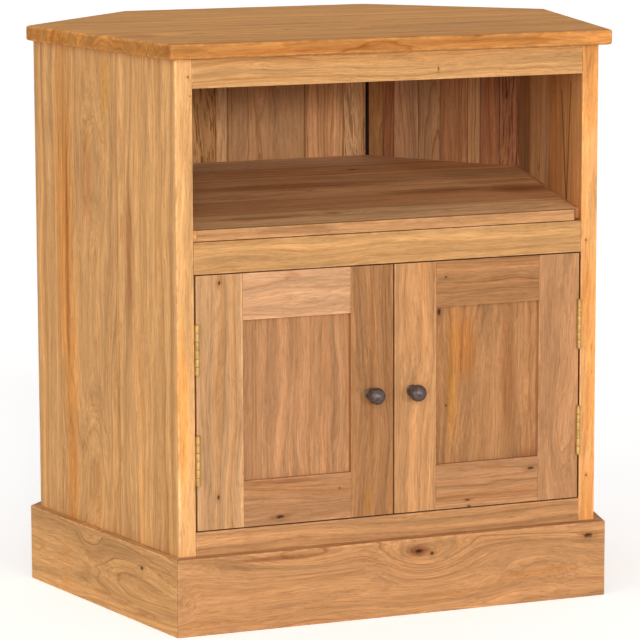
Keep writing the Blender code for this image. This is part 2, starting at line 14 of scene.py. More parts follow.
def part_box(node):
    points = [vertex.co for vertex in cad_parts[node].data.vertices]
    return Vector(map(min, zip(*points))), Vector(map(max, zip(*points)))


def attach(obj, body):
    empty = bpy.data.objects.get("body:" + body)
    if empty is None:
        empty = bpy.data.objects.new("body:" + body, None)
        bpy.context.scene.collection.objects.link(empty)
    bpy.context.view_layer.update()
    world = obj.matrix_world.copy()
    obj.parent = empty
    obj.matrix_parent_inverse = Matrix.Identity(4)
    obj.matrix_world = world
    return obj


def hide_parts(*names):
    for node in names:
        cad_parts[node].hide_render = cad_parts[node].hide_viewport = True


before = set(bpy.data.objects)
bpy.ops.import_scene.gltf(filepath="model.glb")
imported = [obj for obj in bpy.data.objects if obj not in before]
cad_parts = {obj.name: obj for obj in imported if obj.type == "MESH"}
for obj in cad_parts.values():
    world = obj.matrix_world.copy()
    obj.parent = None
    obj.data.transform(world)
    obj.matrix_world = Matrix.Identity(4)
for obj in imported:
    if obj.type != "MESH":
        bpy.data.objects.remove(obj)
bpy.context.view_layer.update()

bl_info = {
    "name": "Corner cabinet",
    "version": (1, 0, 0),
    "blender": (4, 5, 0),
    "location": "3D View > Sidebar > Cabinet",
    "description": "Builds a teak corner cabinet with a niche and two doors",
    "category": "Add Mesh",
}

MM = 0.001
UP = (0.0, 0.0, 1.0)
RIGHT = (1.0, 0.0, 0.0)
BACK = (0.0, 1.0, 0.0)
PLAN_AXES = (RIGHT, BACK, UP)       # outline in plan, thickness upwards
SIDE_AXES = (BACK, UP, RIGHT)       # outline in a side view, length to the right

# The body's front plane and the plan's directions
FRONT_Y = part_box("left_side_panel")[0][1]
FLARE = math.atan2(0.0753, 0.357)   # the sides open out towards the back
LEFT_RUN = (-math.sin(FLARE), math.cos(FLARE))      # front to back along the left side
RIGHT_RUN = (math.sin(FLARE), math.cos(FLARE))
LEFT_DIAGONAL_RUN = (math.sqrt(0.5), math.sqrt(0.5))
RIGHT_DIAGONAL_RUN = (-math.sqrt(0.5), math.sqrt(0.5))

SHELF_T = 14 * MM
SHELF_RISE = 0.037                  # the shelf climbs this much per metre of depth
CLEAT_H = 16 * MM
END_LOSS = np.array((0.24, 0.32, 0.38))     # light lost to end grain: red, green, blue
SEAM_EASE = 0.05 * MM               # arris left on a glued edge
BEYOND = 2.0                        # longer than the cabinet in any direction
CORNER_STEPS = 3
CRISP_ANGLE = math.radians(28)      # edges of the fittings sharper than this stay crisp

# Hinge leaf, about the hinge's own axis
HINGE_HALF = 32 * MM
KNUCKLES = 6
KNUCKLE_GAP = 0.5 * MM
KNUCKLE_R = 2.8 * MM
KNUCKLE_BORE = 1.48 * MM
LEAF_T = 0.8 * MM
LEAF_START = 3.0 * MM
LEAF_REACH = 17.0 * MM
FINGER_END = 1.6 * MM
FINGER_LAP = 0.4 * MM               # how far a finger laps the plate
FRAME_LEAF_FACE = 1.16 * MM
DOOR_LEAF_FACE = 0.6 * MM
SCREW_ROW = 10.0 * MM
SCREW_STEP = 22.0 * MM

# Door framing
GROOVE_D = 8 * MM
GROOVE_NEAR = 6.8 * MM              # the groove's two sides, from the door's face
GROOVE_FAR = 13.2 * MM
FIT = 0.3 * MM                      # room round a tongue

# How a board lies in the tree: pith sideways, pith depth, lean sideways, lean in depth
CUTS = {
    "crown": (0.000, 0.042, 0.010, 0.050),
    "rift": (0.060, 0.045, 0.012, 0.025),
    "quarter": (0.150, 0.030, 0.006, 0.006),
}

# Knots: place in mm, radius of the dark core in mm, what divides it along each axis,
# push on the rings in mm, share of brown stain round the core
KNOTS = (
    ((29.8, -279.1, 83.7), 1.8, (0.3, 1, 0.6), 6, 0.6),
    ((48.1, -279.1, 79.4), 2.2, (0.8, 1, 0.8), 4, 0.5),
    ((272.5, -279.1, 83.5), 3.4, (0.5, 1, 1), 4, 0.5),
    ((-319.2, -193, 73.7), 2.6, (0.6, 0.6, 1), 7, 0.5),
    ((-236.3, -262.6, 448.4), 1.8, (1, 1, 0.6), 2, 0.4),
    ((-156.2, -262.6, 141.8), 3.4, (0.55, 1, 1.3), 4, 0.4),
    ((-239.2, -262.6, 173.7), 1.8, (1, 1, 0.6), 2, 0.4),
    ((-74.2, -262.6, 172.4), 1.1, (1, 1, 1), 1, 0.3),
    ((195.8, -262.6, 176.9), 2.8, (0.5, 1, 1.5), 4, 0.4),
    ((67.2, -255.5, 391.5), 3.4, (1.3, 1, 0.6), 4, 0.5),
    ((77.6, -255.5, 268), 1.3, (1, 1, 0.8), 1, 0.3),
    ((73.9, -262.6, 437.7), 1.3, (0.8, 1, 1), 1, 0.3),
    ((105.5, -262.6, 141.7), 1.9, (0.5, 1, 1.4), 2, 0.4),
    ((107.7, -262.6, 133), 1.7, (0.8, 1, 0.8), 0.5, 0.2),
    ((105.5, 139.2, 530.8), 2.8, (0.5, 1, 1), 3, 0.5),
    ((62.4, -262.6, 706.3), 1.1, (1, 1, 0.35), 0.5, 0.2),
    ((273.2, -262.6, 475), 1.2, (1, 1, 0.7), 1, 0.3),
    ((276.8, -262.6, 160.9), 1.2, (1, 1, 0.7), 1, 0.3),
    ((-275.4, -262.6, 708.4), 1.2, (1, 1, 0.7), 1, 0.3),
    ((-272.5, -262.6, 684.7), 0.8, (1, 1, 0.8), 0.5, 0.3),
)

# Swells, where the grain bows out: place and half size along the axes in mm, bow in mm
SWELLS = (
    ((36, -279.1, 76), (95, 60, 50), 26),
    ((-150, -279.1, 84), (170, 60, 34), 13),
    ((196, -279.1, 52), (110, 60, 46), -18),
    ((-320, -200, 42), (60, 260, 44), 24),
    ((-334, -66, 575), (60, 60, 150), 20),
    ((-335, -58, 170), (60, 54, 140), 20),
    ((-350, 12, 400), (60, 34, 230), -14),
    ((238, -262.6, 220), (26, 60, 110), 12),
    ((-54.2, -191.3, 518.6), (80, 34, 60), 12),
    ((-30, -262.6, 260), (26, 60, 170), -8),
)

# Shakes: two ends of a dark line in mm, and how far it spreads to each side in mm
SHAKES = (
    ((289.6, -150.8, 658.3), (283.5, -179.7, 518), 5),
    ((279.1, -200.9, 675.1), (283.1, -181.9, 518), 4),
)

# Soft patches of another colour: a tint, then each place and half size along the axes in mm
STAINS = (
    ((1.04, 0.84, 0.55), (
        ((-351, 16, 520), (30, 30, 380)),
        ((-349, 6, 230), (22, 22, 300)),
        ((-285.8, -262.6, 300), (9, 60, 150)),
        ((104, -255.5, 345), (17, 60, 62)),
    )),
    ((0.8, 0.7, 0.62), (
        ((-339.1, -40.5, 565), (18, 18, 90)),
        ((165, -255.5, 300), (12, 60, 130)),
        ((-29, -262.6, 300), (4.5, 60, 190)),
        ((-150, -262.6, 187), (75, 60, 5)),
        ((-299, -130, 750), (34, 60, 30)),
        ((57.6, -213.8, 750), (260, 16, 30)),
        ((-120, -262, 738), (200, 60, 5)),
        ((130, -262, 742), (170, 60, 5)),
        ((197, -91, 750), (130, 20, 30)),
        ((-60, -20, 750), (150, 16, 30)),
    )),
    ((0.6, 0.47, 0.4), (
        ((29.8, -279.1, 84.5), (24, 60, 11)),
        ((-316.6, -147.1, 450), (11, 11, 160)),
        ((-350, 11.4, 470), (6, 6, 250)),
        ((-180, -279.1, 92), (90, 60, 4.5)),
        ((196, -255.5, 174), (32, 5, 36)),
        ((-16, 25.5, 526.7), (220, 34, 60)),
        ((-150, -198, 518.4), (100, 16, 60)),
        ((151.7, -63, 523.4), (110, 24, 60)),
        ((262, -79, 522.8), (70, 40, 60)),
        ((-54.2, -191.3, 518.6), (18, 11, 60)),
    )),
    ((1.02, 0.96, 0.62), (
        ((-328.4, -91.4, 680), (15, 15, 60)),
        ((-34.8, -262.6, 153), (8, 60, 34)),
        ((86, -255.5, 300), (8, 60, 110)),
    )),
    ((1.24, 1.26, 1.34), (
        ((-291.3, -262.6, 190), (3, 3, 120)),
    )),
)

GOLDEN_SHARE = 0.618                # steps this far apart never fall into a pattern

# Marks in teak: length and width in mm, detail, roughness, then the noise levels read and
# what they become. Fibres and pores are drawn 1 to 2 mm wide so that they show.
MARKS = {
    "bands": (770, 22, 3, 0.55, 0.32, 0.68, 0.83, 1.13),
    "streaks": (420, 6.5, 2, 0.5, 0.32, 0.68, 0.88, 1.09),
    "warmth": (900, 32, 2, 0.5, 0.43, 0.62, 0, 1),
    "fade": (330, 62, 2, 0.5, 0.35, 0.62, 0.25, 1),
    "fibres": (46, 2, 3, 0.65, 0.32, 0.68, 0.8, 1.13),
    "pores": (12, 0.95, 1, 0.5, 0.6, 0.72, 0, 1),
    "tears": (80, 2.7, 4, 0.7, 0.47, 0.6, 0, 1),
}


def linear(code):
    """Linear red, green and blue of an sRGB hex colour."""
    share = np.array([int(code[k:k + 2], 16) for k in (1, 3, 5)]) / 255.0
    return tuple(np.where(share <= 0.04045, share / 12.92, ((share + 0.055) / 1.055) ** 2.4))


def colour(name, code, text):
    return FloatVectorProperty(name=name, description=text, default=linear(code), size=3,
                               min=0.0, max=1.0, subtype='COLOR')


class CabinetFinish(bpy.types.PropertyGroup):
    """Colours of the timber and the fittings."""
    golden: colour("Golden teak", "#E0A164", "Front board of the right side")
    honey: colour("Honey teak", "#D6A067", "Left side")
    amber: colour("Amber teak", "#D6974F", "Top")
    ginger: colour("Ginger teak", "#CC8948", "Front edge of the top")
    rail: colour("Rail teak", "#C5935E", "Rails")
    fawn: colour("Fawn teak", "#BE8A5B", "Plinth and plain boards")
    straw: colour("Straw teak", "#DDA673", "Pale boards of the niche")
    # Partly painted light: a pale teak made paler still, to lift the shade on the niche's
    # boards
    cream_with_painted_light: colour("Cream teak with painted light", "#EDBC86", "Palest boards of the niche and its shelf")
    # Partly painted light: paled well beyond the wood, to lift the shade at the back of the
    # shelf
    bleached_with_painted_light: colour("Bleached teak with painted light", "#F7D8B0", "Rear board of the shelf")
    tan: colour("Tan teak", "#C39467", "Hinge stile and greyer boards")
    pale_tan: colour("Pale tan teak", "#CF9C72", "Palest door rail")
    russet: colour("Russet teak", "#B38158", "Redder door parts")
    brown: colour("Brown teak", "#AC7A4F", "Darker stile, rail and panel")
    walnut: colour("Dark teak", "#BA8257", "Darker boards of the niche's corner")
    chestnut: colour("Chestnut teak", "#AF7550", "Reddish boards of the niche")
    sawn: colour("Sawn teak", "#8A5F40", "Rough boards and hidden cleats")
    # Painted shadow: a near-black board stands in for the shade inside the niche's open joint
    shadow: colour("Painted shadow end", "#2B2220", "Dark end board beside the niche's open joint")
    brass: colour("Brass", "#C09D60", "Hinges and their screws")
    bronze: colour("Browned bronze", "#40322F", "Knobs")
    steel: colour("Zinc plate", "#B9BBBD", "Knob screws and strike plates")
    ferrite: colour("Ferrite", "#3A3A3C", "Door magnet")
    floor: colour("Studio floor", "#F4F3F1", "Paper under the cabinet")


def length(name, value, text):
    return FloatProperty(name=name, description=text, default=value, min=0.0, precision=5,
                         subtype='DISTANCE', unit='LENGTH')


class CabinetSizes(bpy.types.PropertyGroup):
    """Small sizes that shape the look and leave the cabinet's own size alone."""
    top_round: length("Top edge", 3.0 * MM, "Radius worked on the top's edges")
    top_corner: length("Top corner", 5.0 * MM, "How far each corner of the top is cut back")
    arris: length("Arris", 0.8 * MM, "Radius rubbed on the other edges")
    joint_arris: length("Joint arris", 0.3 * MM, "Radius left where door parts meet")
    band: length("Wear band", 2.0 * MM, "Width of the rubbed strip along an edge")
    open_seam: length("Open seam", 0.15 * MM, "Gap between the niche's boards")
    glued_seam: length("Glued seam", 0.08 * MM, "Gap drawn between glued boards")
    ring: length("Growth ring", 5.6 * MM, "Spacing of the growth rings")
    knuckle_edge: length("Knuckle edge", 0.25 * MM, "Rounding between hinge knuckles")


def finish():
    return bpy.context.scene.cabinet_finish


def sizes():
    return bpy.context.scene.cabinet_sizes


# Materials


def add(tree, kind, inputs=(), operation=None, out=0, stops=None, **settings):
    """Add a node with its settings, fill or link its inputs, and return one output.

    inputs holds values or links, by name or place, or in order from the first.
    """
    node = tree.nodes.new("ShaderNode" + kind)
    if operation:
        node.operation = operation
    for key, value in settings.items():
        setattr(node, key, value)
    for key, value in inputs.items() if isinstance(inputs, dict) else enumerate(inputs):
        if isinstance(value, bpy.types.NodeSocket):
            tree.links.new(value, node.inputs[key])
        else:
            node.inputs[key].default_value = value
    if stops:
        ramp = node.color_ramp.elements
        while len(ramp) < len(stops):
            ramp.new(1.0)
        for element, (place, level) in zip(ramp, stops):
            element.position = place
            element.color = (level, level, level, 1.0)
    return node.outputs[out] if len(node.outputs) else node


def blank_tree(name):
    """A new material's empty node tree."""
    material = bpy.data.materials.new(name)
    material.use_nodes = True
    material.node_tree.nodes.clear()
    return material, material.node_tree


def finished(name, build):
    """The named material, built once."""
    return bpy.data.materials.get(name) or build(name)


def cells(along, wide):
    """Noise cells per metre for a mark of this length and width in millimetres."""
    return (1.0 / (along * MM), 1.0 / (wide * MM), 1.0 / (wide * MM))


def away_from(tree, place, centre, half):
    """Distance of a place from a centre in millimetres, as a share of the half sizes."""
    away = add(tree, "VectorMath", (place, np.array(centre) * MM), 'SUBTRACT')
    away = add(tree, "VectorMath", (away, 1.0 / (np.array(half) * MM)), 'MULTIPLY')
    return add(tree, "VectorMath", (away,), 'LENGTH', out=1)


def teak_tree(name, carried=False, knots=(), shakes=(), stains=(), swells=()):
    """Teak, planed and oiled; a carried CAD node takes plain object coordinates.

    The eye gets a warm brown with thin dark growth lines, soft golden and orange
    streaks, short open pores and a low satin shine. Rings are distances from the pith.
    """
    material, tree = blank_tree(name)
    place = add(tree, "TexCoord", out=3)
    if carried:
        grain = add(tree, "VectorMath", (place, (3.0, 0.19, 0.07)))
        tone = add(tree, "RGB")
        tone.default_value = (*finish().sawn, 1.0)
        figure, sawn, wear = 0.6, 0.5, 0.0
    else:
        grain = add(tree, "Attribute", attribute_name="grain", out=1)
        tone = add(tree, "Attribute", attribute_name="tone", out=0)
        marks = add(tree, "Attribute", attribute_name="character", out=1)
        figure, sawn, wear = add(tree, "SeparateXYZ", (marks,)).node.outputs

    # Slow bends 200 mm long and 36 mm wide, then small ones 40 mm long and 7 mm wide
    bent = grain
    for along, wide, sway in ((200, 36, 26.0), (40, 7, 3.2)):
        scaled = add(tree, "VectorMath", (bent, cells(along, wide)), 'MULTIPLY')
        swirl = add(tree, "TexNoise", {"Vector": scaled, "Scale": 1.0, "Detail": 1.5}, out=1)
        swirl = add(tree, "VectorMath", (swirl, (0.5, 0.5, 0.5)), 'SUBTRACT')
        swirl = add(tree, "VectorMath", (swirl, (0.0, sway * MM, sway * MM)), 'MULTIPLY')
        bent = add(tree, "VectorMath", (bent, swirl))

    # Swells push the grain sideways and inwards, most in the middle and nothing at the rim
    for centre, half, bow in swells:
        away = away_from(tree, place, centre, half)
        bowed = add(tree, "MapRange", {0: away, 1: 1.0, 2: 0.0, 4: bow * MM},
                    interpolation_type='SMOOTHSTEP')
        bowed = add(tree, "CombineXYZ", {1: bowed, 2: bowed})
        bent = add(tree, "VectorMath", (bent, bowed))

    field = {}
    for key, (along, wide, detail, rough, *levels) in MARKS.items():
        scaled = add(tree, "VectorMath", (bent, cells(along, wide)), 'MULTIPLY')
        cloud = add(tree, "TexNoise",
                    {"Vector": scaled, "Scale": 1.0, "Detail": detail, "Roughness": rough})
        field[key] = add(tree, "MapRange", (cloud, *levels))

    # Knots: a dark core in a brown stain, and rings that part round it
    ragged = add(tree, "TexNoise", {"Vector": place, "Scale": 420.0}) if knots else 0.0
    push, core, stain = 0.0, 0.0, 0.0
    for centre, size, squeeze, shove, brown in knots:
        away = away_from(tree, place, centre, size / np.array(squeeze))
        halo = add(tree, "MapRange", (away, 5.0, 0.0, 0.0, shove * MM),
                   interpolation_type='SMOOTHSTEP')
        push = add(tree, "Math", (halo, push))
        bloom = add(tree, "MapRange", (away, 3.6, 0.8, 0.0, brown),
                    interpolation_type='SMOOTHSTEP')
        stain = add(tree, "Math", (bloom, stain), 'MAXIMUM')
        edge = add(tree, "Math", (away, ragged))
        dark = add(tree, "MapRange", (edge, 1.7, 1.0, 0.0, 0.9))
        core = add(tree, "Math", (dark, core), 'MAXIMUM')

    # Shakes: the distance to a line from a to b, taken at the nearest point a + t(b - a)
    for first, last, wide in shakes:
        step = (np.array(last) - np.array(first)) * MM
        away = add(tree, "VectorMath", (place, np.array(first) * MM), 'SUBTRACT')
        share = add(tree, "VectorMath", (away, step / (step @ step)), 'DOT_PRODUCT', out=1)
        share = add(tree, "Math", (share, 1.0), 'MULTIPLY', use_clamp=True)
        near = add(tree, "VectorMath", {0: step, 3: share}, 'SCALE')
        away = add(tree, "VectorMath", (away, near), 'DISTANCE', out=1)
        dark = add(tree, "MapRange", {0: away, 1: wide * MM, 2: 0.2 * wide * MM, 4: 0.75})
        core = add(tree, "Math", (dark, core), 'MAXIMUM')

    # Soft patches, their edges drawn out along the grain
    tints = []
    for tint, patches in stains:
        cover = 0.0
        for centre, half in patches:
            away = away_from(tree, place, centre, half)
            away = add(tree, "Math", (field["bands"], -1.6, away), 'MULTIPLY_ADD')
            near = add(tree, "MapRange", {0: away, 1: -0.5, 2: -1.35, 4: 0.9},
                       interpolation_type='SMOOTHSTEP')
            cover = add(tree, "Math", (near, cover), 'MAXIMUM')
        tints.append((cover, tint))

    # Growth rings, one dark line each, of uneven strength
    across = add(tree, "VectorMath", (bent, (0.0, 1.0, 1.0)), 'MULTIPLY')
    radius = add(tree, "VectorMath", (across,), 'LENGTH', out=1)
    radius = add(tree, "Math", (radius, push))
    count = add(tree, "Math", (radius, sizes().ring), 'DIVIDE')
    phase = add(tree, "Math", (count,), 'FRACT')
    order = add(tree, "Math", (count,), 'FLOOR')
    order = add(tree, "Math", (order, GOLDEN_SHARE), 'MULTIPLY')
    line = add(tree, "ValToRGB", (phase,),
               stops=((0.0, 0.5), (0.10, 0.14), (0.5, 0.0), (0.80, 0.22), (0.94, 1.0),
                      (1.0, 0.5)))
    # Slow changes from ring to ring: line strength, dark and pale years, sunny years
    years = {}
    for key, read, scale, detail, levels in (
            ("lines", order, 1.0, 0.0, (0.36, 0.64, 0.15, 1.0)),
            ("shade", count, 0.55, 2.0, (0.30, 0.70, 0.86, 1.10)),
            ("sunny", count, 0.30, 1.0, (0.50, 0.66, 0.0, 0.7))):
        cloud = add(tree, "TexNoise", {"W": read, "Scale": scale, "Detail": detail},
                    noise_dimensions='1D')
        years[key] = add(tree, "MapRange", (cloud, *levels))

    rings, warm, shade = line, field["warmth"], field["bands"]
    for level in (years["lines"], field["fade"], figure):
        rings = add(tree, "Math", (rings, level), 'MULTIPLY')
    warm = add(tree, "Math", (warm, years["sunny"]), 'MULTIPLY')
    for level in (field["fibres"], field["streaks"], years["shade"]):
        shade = add(tree, "Math", (shade, level), 'MULTIPLY')
    torn = add(tree, "Math", (field["tears"], sawn), 'MULTIPLY')
    open_pores = add(tree, "Math", (field["pores"], 0.35), 'MULTIPLY')
    patchy = add(tree, "TexNoise", {"Vector": place, "Scale": 90.0, "Detail": 3.0})
    patchy = add(tree, "MapRange", (patchy, 0.42, 0.60, 0.0, 0.8))
    rubbed = add(tree, "Math", (wear, patchy), 'MULTIPLY')
    glued = add(tree, "MapRange", (wear, 0.0, -1.0))

    body = add(tree, "VectorMath", {0: tone, 3: shade}, 'SCALE')
    for share, tint in ((rings, (0.64, 0.47, 0.32)), (warm, (1.02, 0.86, 0.62)),
                        (open_pores, (0.50, 0.42, 0.36)), (torn, (0.36, 0.27, 0.21)),
                        (stain, (0.56, 0.48, 0.44)), *tints, (glued, (0.52, 0.42, 0.36)),
                        (core, (0.13, 0.10, 0.10)), (rubbed, (1.24, 1.30, 1.45))):
        tinted = add(tree, "VectorMath", (body, tint), 'MULTIPLY')
        body = add(tree, "Mix", {0: share, 6: body, 7: tinted}, data_type='RGBA', out=2)

    relief, gloss = field["fibres"], 0.60
    for share, depth, dull in ((field["pores"], -0.4, 0.12), (torn, -0.8, 0.16),
                               (core, -0.6, 0.10), (rings, 0.0, 0.08)):
        relief = add(tree, "Math", (share, depth, relief), 'MULTIPLY_ADD')
        gloss = add(tree, "Math", (share, dull, gloss), 'MULTIPLY_ADD')
    bump = add(tree, "Bump", {"Strength": 0.45, "Distance": 0.7 * MM, "Height": relief})
    shader = add(tree, "BsdfPrincipled",
                 {"Base Color": body, "Roughness": gloss, "Normal": bump,
                  "Specular IOR Level": 0.06})
    add(tree, "OutputMaterial", (shader,))
    return material


def oiled_teak(name):
    return teak_tree(name)


def knotty_teak(name):
    return teak_tree(name, knots=KNOTS, shakes=SHAKES, stains=STAINS, swells=SWELLS)


def carried_teak(name):
    return teak_tree(name, carried=True)


def worked_tree(name, base, dull, cloud, cover, relief, bump, gloss, lined=True, metal=0.0):
    """Two tones in a cloud, with fine relief from the working.

    cloud is the cloud's cells per metre, cover its noise levels and the most of the dull
    tone, relief the marks' cells per metre and their detail, bump its strength and depth
    in millimetres, and gloss the roughness range. Lined work reads that off its marks,
    other work off the cloud.
    """
    material, tree = blank_tree(name)
    place = add(tree, "TexCoord", out=3)
    cloud = add(tree, "TexNoise", {"Vector": place, "Scale": cloud, "Detail": 3.0})
    patches = add(tree, "MapRange", {0: cloud, 1: cover[0], 2: cover[1], 4: cover[2]})
    body = add(tree, "Mix", {0: patches, 6: (*base, 1.0), 7: (*linear(dull), 1.0)},
               data_type='RGBA', out=2)
    drawn = add(tree, "VectorMath", (place, relief[:3]), 'MULTIPLY')
    marks = add(tree, "TexNoise", {"Vector": drawn, "Scale": 1.0, "Detail": relief[3]})
    rough = add(tree, "MapRange", (marks if lined else cloud, 0.3, 0.7, gloss[0], gloss[1]))
    normal = add(tree, "Bump", {"Strength": bump[0], "Distance": bump[1] * MM, "Height": marks})
    shader = add(tree, "BsdfPrincipled",
                 {"Base Color": body, "Metallic": metal, "Roughness": rough, "Normal": normal})
    add(tree, "OutputMaterial", (shader,))
    return material


def lacquered_brass(name):
    """Brass, rolled and lacquered: a soft yellow metal with fine lines along the strip."""
    return worked_tree(name, finish().brass, "#9A7E4C", 130.0, (0.42, 0.68, 0.75),
                       (900.0, 900.0, 90.0, 2.0), (0.5, 0.05), (0.57, 0.73), metal=1.0)


def zinc_plate(name):
    """Mild steel, zinc plated: a bright grey with a faint cloud."""
    return worked_tree(name, finish().steel, "#8D9093", 130.0, (0.42, 0.68, 0.75),
                       (500.0, 500.0, 500.0, 2.0), (0.5, 0.04), (0.29, 0.45), metal=1.0)


def browned_bronze(name):
    """Bronze, turned and browned: a dark violet brown, with small hand-worked dimples."""
    return worked_tree(name, finish().bronze, "#5F4E47", 240.0, (0.40, 0.66, 1.0),
                       (520.0, 520.0, 520.0, 1.0), (0.6, 0.25), (0.27, 0.42), lined=False,
                       metal=0.25)


def moulded_ferrite(name):
    """Ferrite, pressed and fired: a dull near-black block with a fine grain."""
    return worked_tree(name, finish().ferrite, "#55565A", 900.0, (0.0, 1.0, 1.0),
                       (900.0, 900.0, 900.0, 3.0), (0.4, 0.1), (0.5, 0.7))


def seen_directly(tree):
    """1 for rays from the camera, off gloss or through glass, and 0 for light's own rays."""
    rays = add(tree, "LightPath").node
    seen = 0.0
    for key in ("Is Camera Ray", "Is Glossy Ray", "Is Transmission Ray"):
        seen = add(tree, "Math", (rays.outputs[key], seen), 'MAXIMUM')
    return seen


def studio_paper(name):
    """Matt paper: plain and pale, and lifted to white for the camera."""
    material, tree = blank_tree(name)
    place = add(tree, "TexCoord", out=3)
    fibres = add(tree, "TexNoise", {"Vector": place, "Scale": 60.0, "Detail": 2.0})
    body = add(tree, "Mix",
               {0: fibres, 6: (*finish().floor, 1.0), 7: (*linear("#EFEEEC"), 1.0)},
               data_type='RGBA', out=2)
    paper = add(tree, "BsdfDiffuse", {"Color": body})
    glow = add(tree, "Emission", {"Color": (1.0, 1.0, 1.0, 1.0), "Strength": FLOOR_GLOW})
    none = add(tree, "Emission", {"Strength": 0.0})
    lift = add(tree, "MixShader", (seen_directly(tree), none, glow))
    both = add(tree, "AddShader", (paper, lift))
    add(tree, "OutputMaterial", (both,))
    return material


# Surfaces


def edge_run(outline):
    """Unit direction and outward normal of each edge of an anticlockwise outline."""
    step = np.roll(outline, -1, axis=0) - outline
    along = step / np.linalg.norm(step, axis=1, keepdims=True)
    return along, np.stack([along[:, 1], -along[:, 0]], axis=1)


def corners_at(outline, insets):
    """Corners of the outline once edge i has moved inwards by insets[..., i].

    A corner moves by x, where x.a = -da and x.b = -db for the normals a and b of the two
    edges that meet there.
    """
    normal = edge_run(outline)[1]
    a, b = np.roll(normal, 1, axis=0), normal
    da, db = np.roll(insets, 1, axis=-1)[..., None], insets[..., None]
    c = (a * b).sum(axis=1)[:, None]
    return outline - ((da - db * c) * a + (db - da * c) * b) / (1.0 - c * c)


def rectangle(low, high):
    """Corners of an upright rectangle, anticlockwise from the lowest on the left."""
    return np.array([low, (high[0], low[1]), high, (low[0], high[1])], float)


def skin(rows, count, loop=False):
    """Faces over rows of count points, each row a ring: quads, and a cap at either end.

    With loop the last row joins the first and there are no caps.
    """
    row, col = np.meshgrid(np.arange(rows if loop else rows - 1), np.arange(count),
                           indexing="ij")
    above, after = (row + 1) % rows, (col + 1) % count
    quads = np.stack([row * count + col, row * count + after, above * count + after,
                      above * count + col], axis=-1).reshape(-1, 4).tolist()
    ring = np.arange(count)
    caps = [] if loop else [ring[::-1].tolist(), (ring + (rows - 1) * count).tolist()]
    return quads + caps


def board(outline, low, high, outer=None, ease=None, corner=None, band=None, axes=PLAN_AXES,
          steps=CORNER_STEPS, rise=0.0, seam_line=0.5):
    """A board: its outline carried through its thickness, with rubbed arrises.

    A point is C(d) + B(s) in the outline's plane and z across it. C(d) is a corner of
    the outline with its edges moved inwards by d. B(s) = -t(1-s)^2 e + t s^2 f cuts that
    corner back by t along its edges e and f. At each end d follows a quarter circle,
    d = r - sqrt(r^2 - (r - h)^2) at a height h from the end. rise tilts the board.
    """
    size = sizes()
    ease = size.arris if ease is None else ease
    corner = ease if corner is None else corner
    band = size.band if band is None else band
    outline = np.asarray(outline, float)
    outer = np.ones(len(outline), bool) if outer is None else outer
    along, normal = edge_run(outline)
    before = np.roll(along, 1, axis=0)
    normal_before = np.roll(normal, 1, axis=0)
    free = outer & np.roll(outer, 1)

    s = np.linspace(0.0, 1.0, steps + 1)
    cut = np.where(free, corner, SEAM_EASE)[:, None, None]
    curve = cut * (s[:, None] ** 2 * along[:, None] - (1 - s)[:, None] ** 2 * before[:, None])
    shape = np.concatenate([-(cut + band) * before[:, None], curve,
                            (cut + band) * along[:, None]], axis=1)
    turn = (1 - s)[:, None] * normal_before[:, None] + s[:, None] * normal[:, None]
    facing = np.concatenate([normal_before[:, None], turn, normal[:, None]], axis=1)
    facing = (facing / np.linalg.norm(facing, axis=2, keepdims=True)).reshape(-1, 2)

    quarter = s * math.pi / 2
    height = np.concatenate([[0.0], ease * (1 - np.cos(quarter)), [ease + band]])
    radius = np.where(outer, ease, SEAM_EASE)[None]
    inside = np.clip(radius - height[:, None], 0.0, None)
    insets = radius - np.sqrt(np.clip(radius ** 2 - inside ** 2, 0.0, None))
    insets[0] = radius[0] + band
    side = np.concatenate([[0.0], np.sin(quarter), [1.0]])
    insets = np.concatenate([insets, insets[::-1]])
    level = np.concatenate([low + height, high - height[::-1]])
    side = np.concatenate([side, side[::-1]])
    end = np.sqrt(1 - side ** 2) * np.repeat([-1.0, 1.0], len(height))

    flat = (corners_at(outline, insets)[:, :, None] + shape).reshape(len(level), -1, 2)
    count = flat.shape[1]
    z = np.repeat(level[:, None], count, axis=1) + rise * (flat[..., 1] - FRONT_Y)
    points = np.concatenate([flat, z[..., None]], axis=2).reshape(-1, 3) @ np.array(axes)
    normals = np.concatenate([facing[None] * side[:, None, None],
                              np.repeat(end[:, None, None], count, axis=1)], axis=2)
    normals = normals.reshape(-1, 3) @ np.array(axes)

    # Rubbed edges: full on the arrises, nothing one band away, and below nothing at glue
    one = np.ones(steps + 1)
    corner_rows = np.concatenate([[0.0], one, [0.0]])
    upright = (free[:, None] * corner_rows).reshape(-1)
    seam = (~free[:, None] * corner_rows).reshape(-1)
    rim = np.concatenate([np.roll(outer, 1)[:, None], free[:, None] * one, outer[:, None]],
                         axis=1).reshape(-1)
    is_rim = np.zeros(len(height))
    is_rim[1:-1] = 1.0
    is_rim = np.concatenate([is_rim, is_rim[::-1]])[:, None]
    glued = np.concatenate([~np.roll(outer, 1)[:, None], ~free[:, None] * one, ~outer[:, None]],
                           axis=1).reshape(-1)
    wear = np.maximum(is_rim * rim, upright) - seam_line * np.maximum(is_rim * glued, seam)
    wear[[0, -1]] = 0.0

    return {"points": points, "normals": normals, "wear": wear.reshape(-1),
            "faces": skin(len(level), count)}


def turned(profile, sides=40, loop=False):
    """A profile carried round a circle: x = r cos a, y = r sin a, z = h.

    An open profile is closed by a small flat at each end, a loop closes on itself.
    """
    profile = np.asarray(profile, float)
    angle = np.linspace(0.0, 2 * math.pi, sides, endpoint=False)
    points = np.stack([profile[:, :1] * np.cos(angle), profile[:, :1] * np.sin(angle),
                       np.repeat(profile[:, 1:], sides, axis=1)], axis=-1)
    return {"points": points.reshape(-1, 3), "faces": skin(len(profile), sides, loop)}


def placed(part, matrix):
    """The same part carried by a 4x4 matrix."""
    matrix = np.array(matrix)
    part = dict(part)
    part["points"] = part["points"] @ matrix[:3, :3].T + matrix[:3, 3]
    if "normals" in part:
        part["normals"] = part["normals"] @ matrix[:3, :3].T
    return part


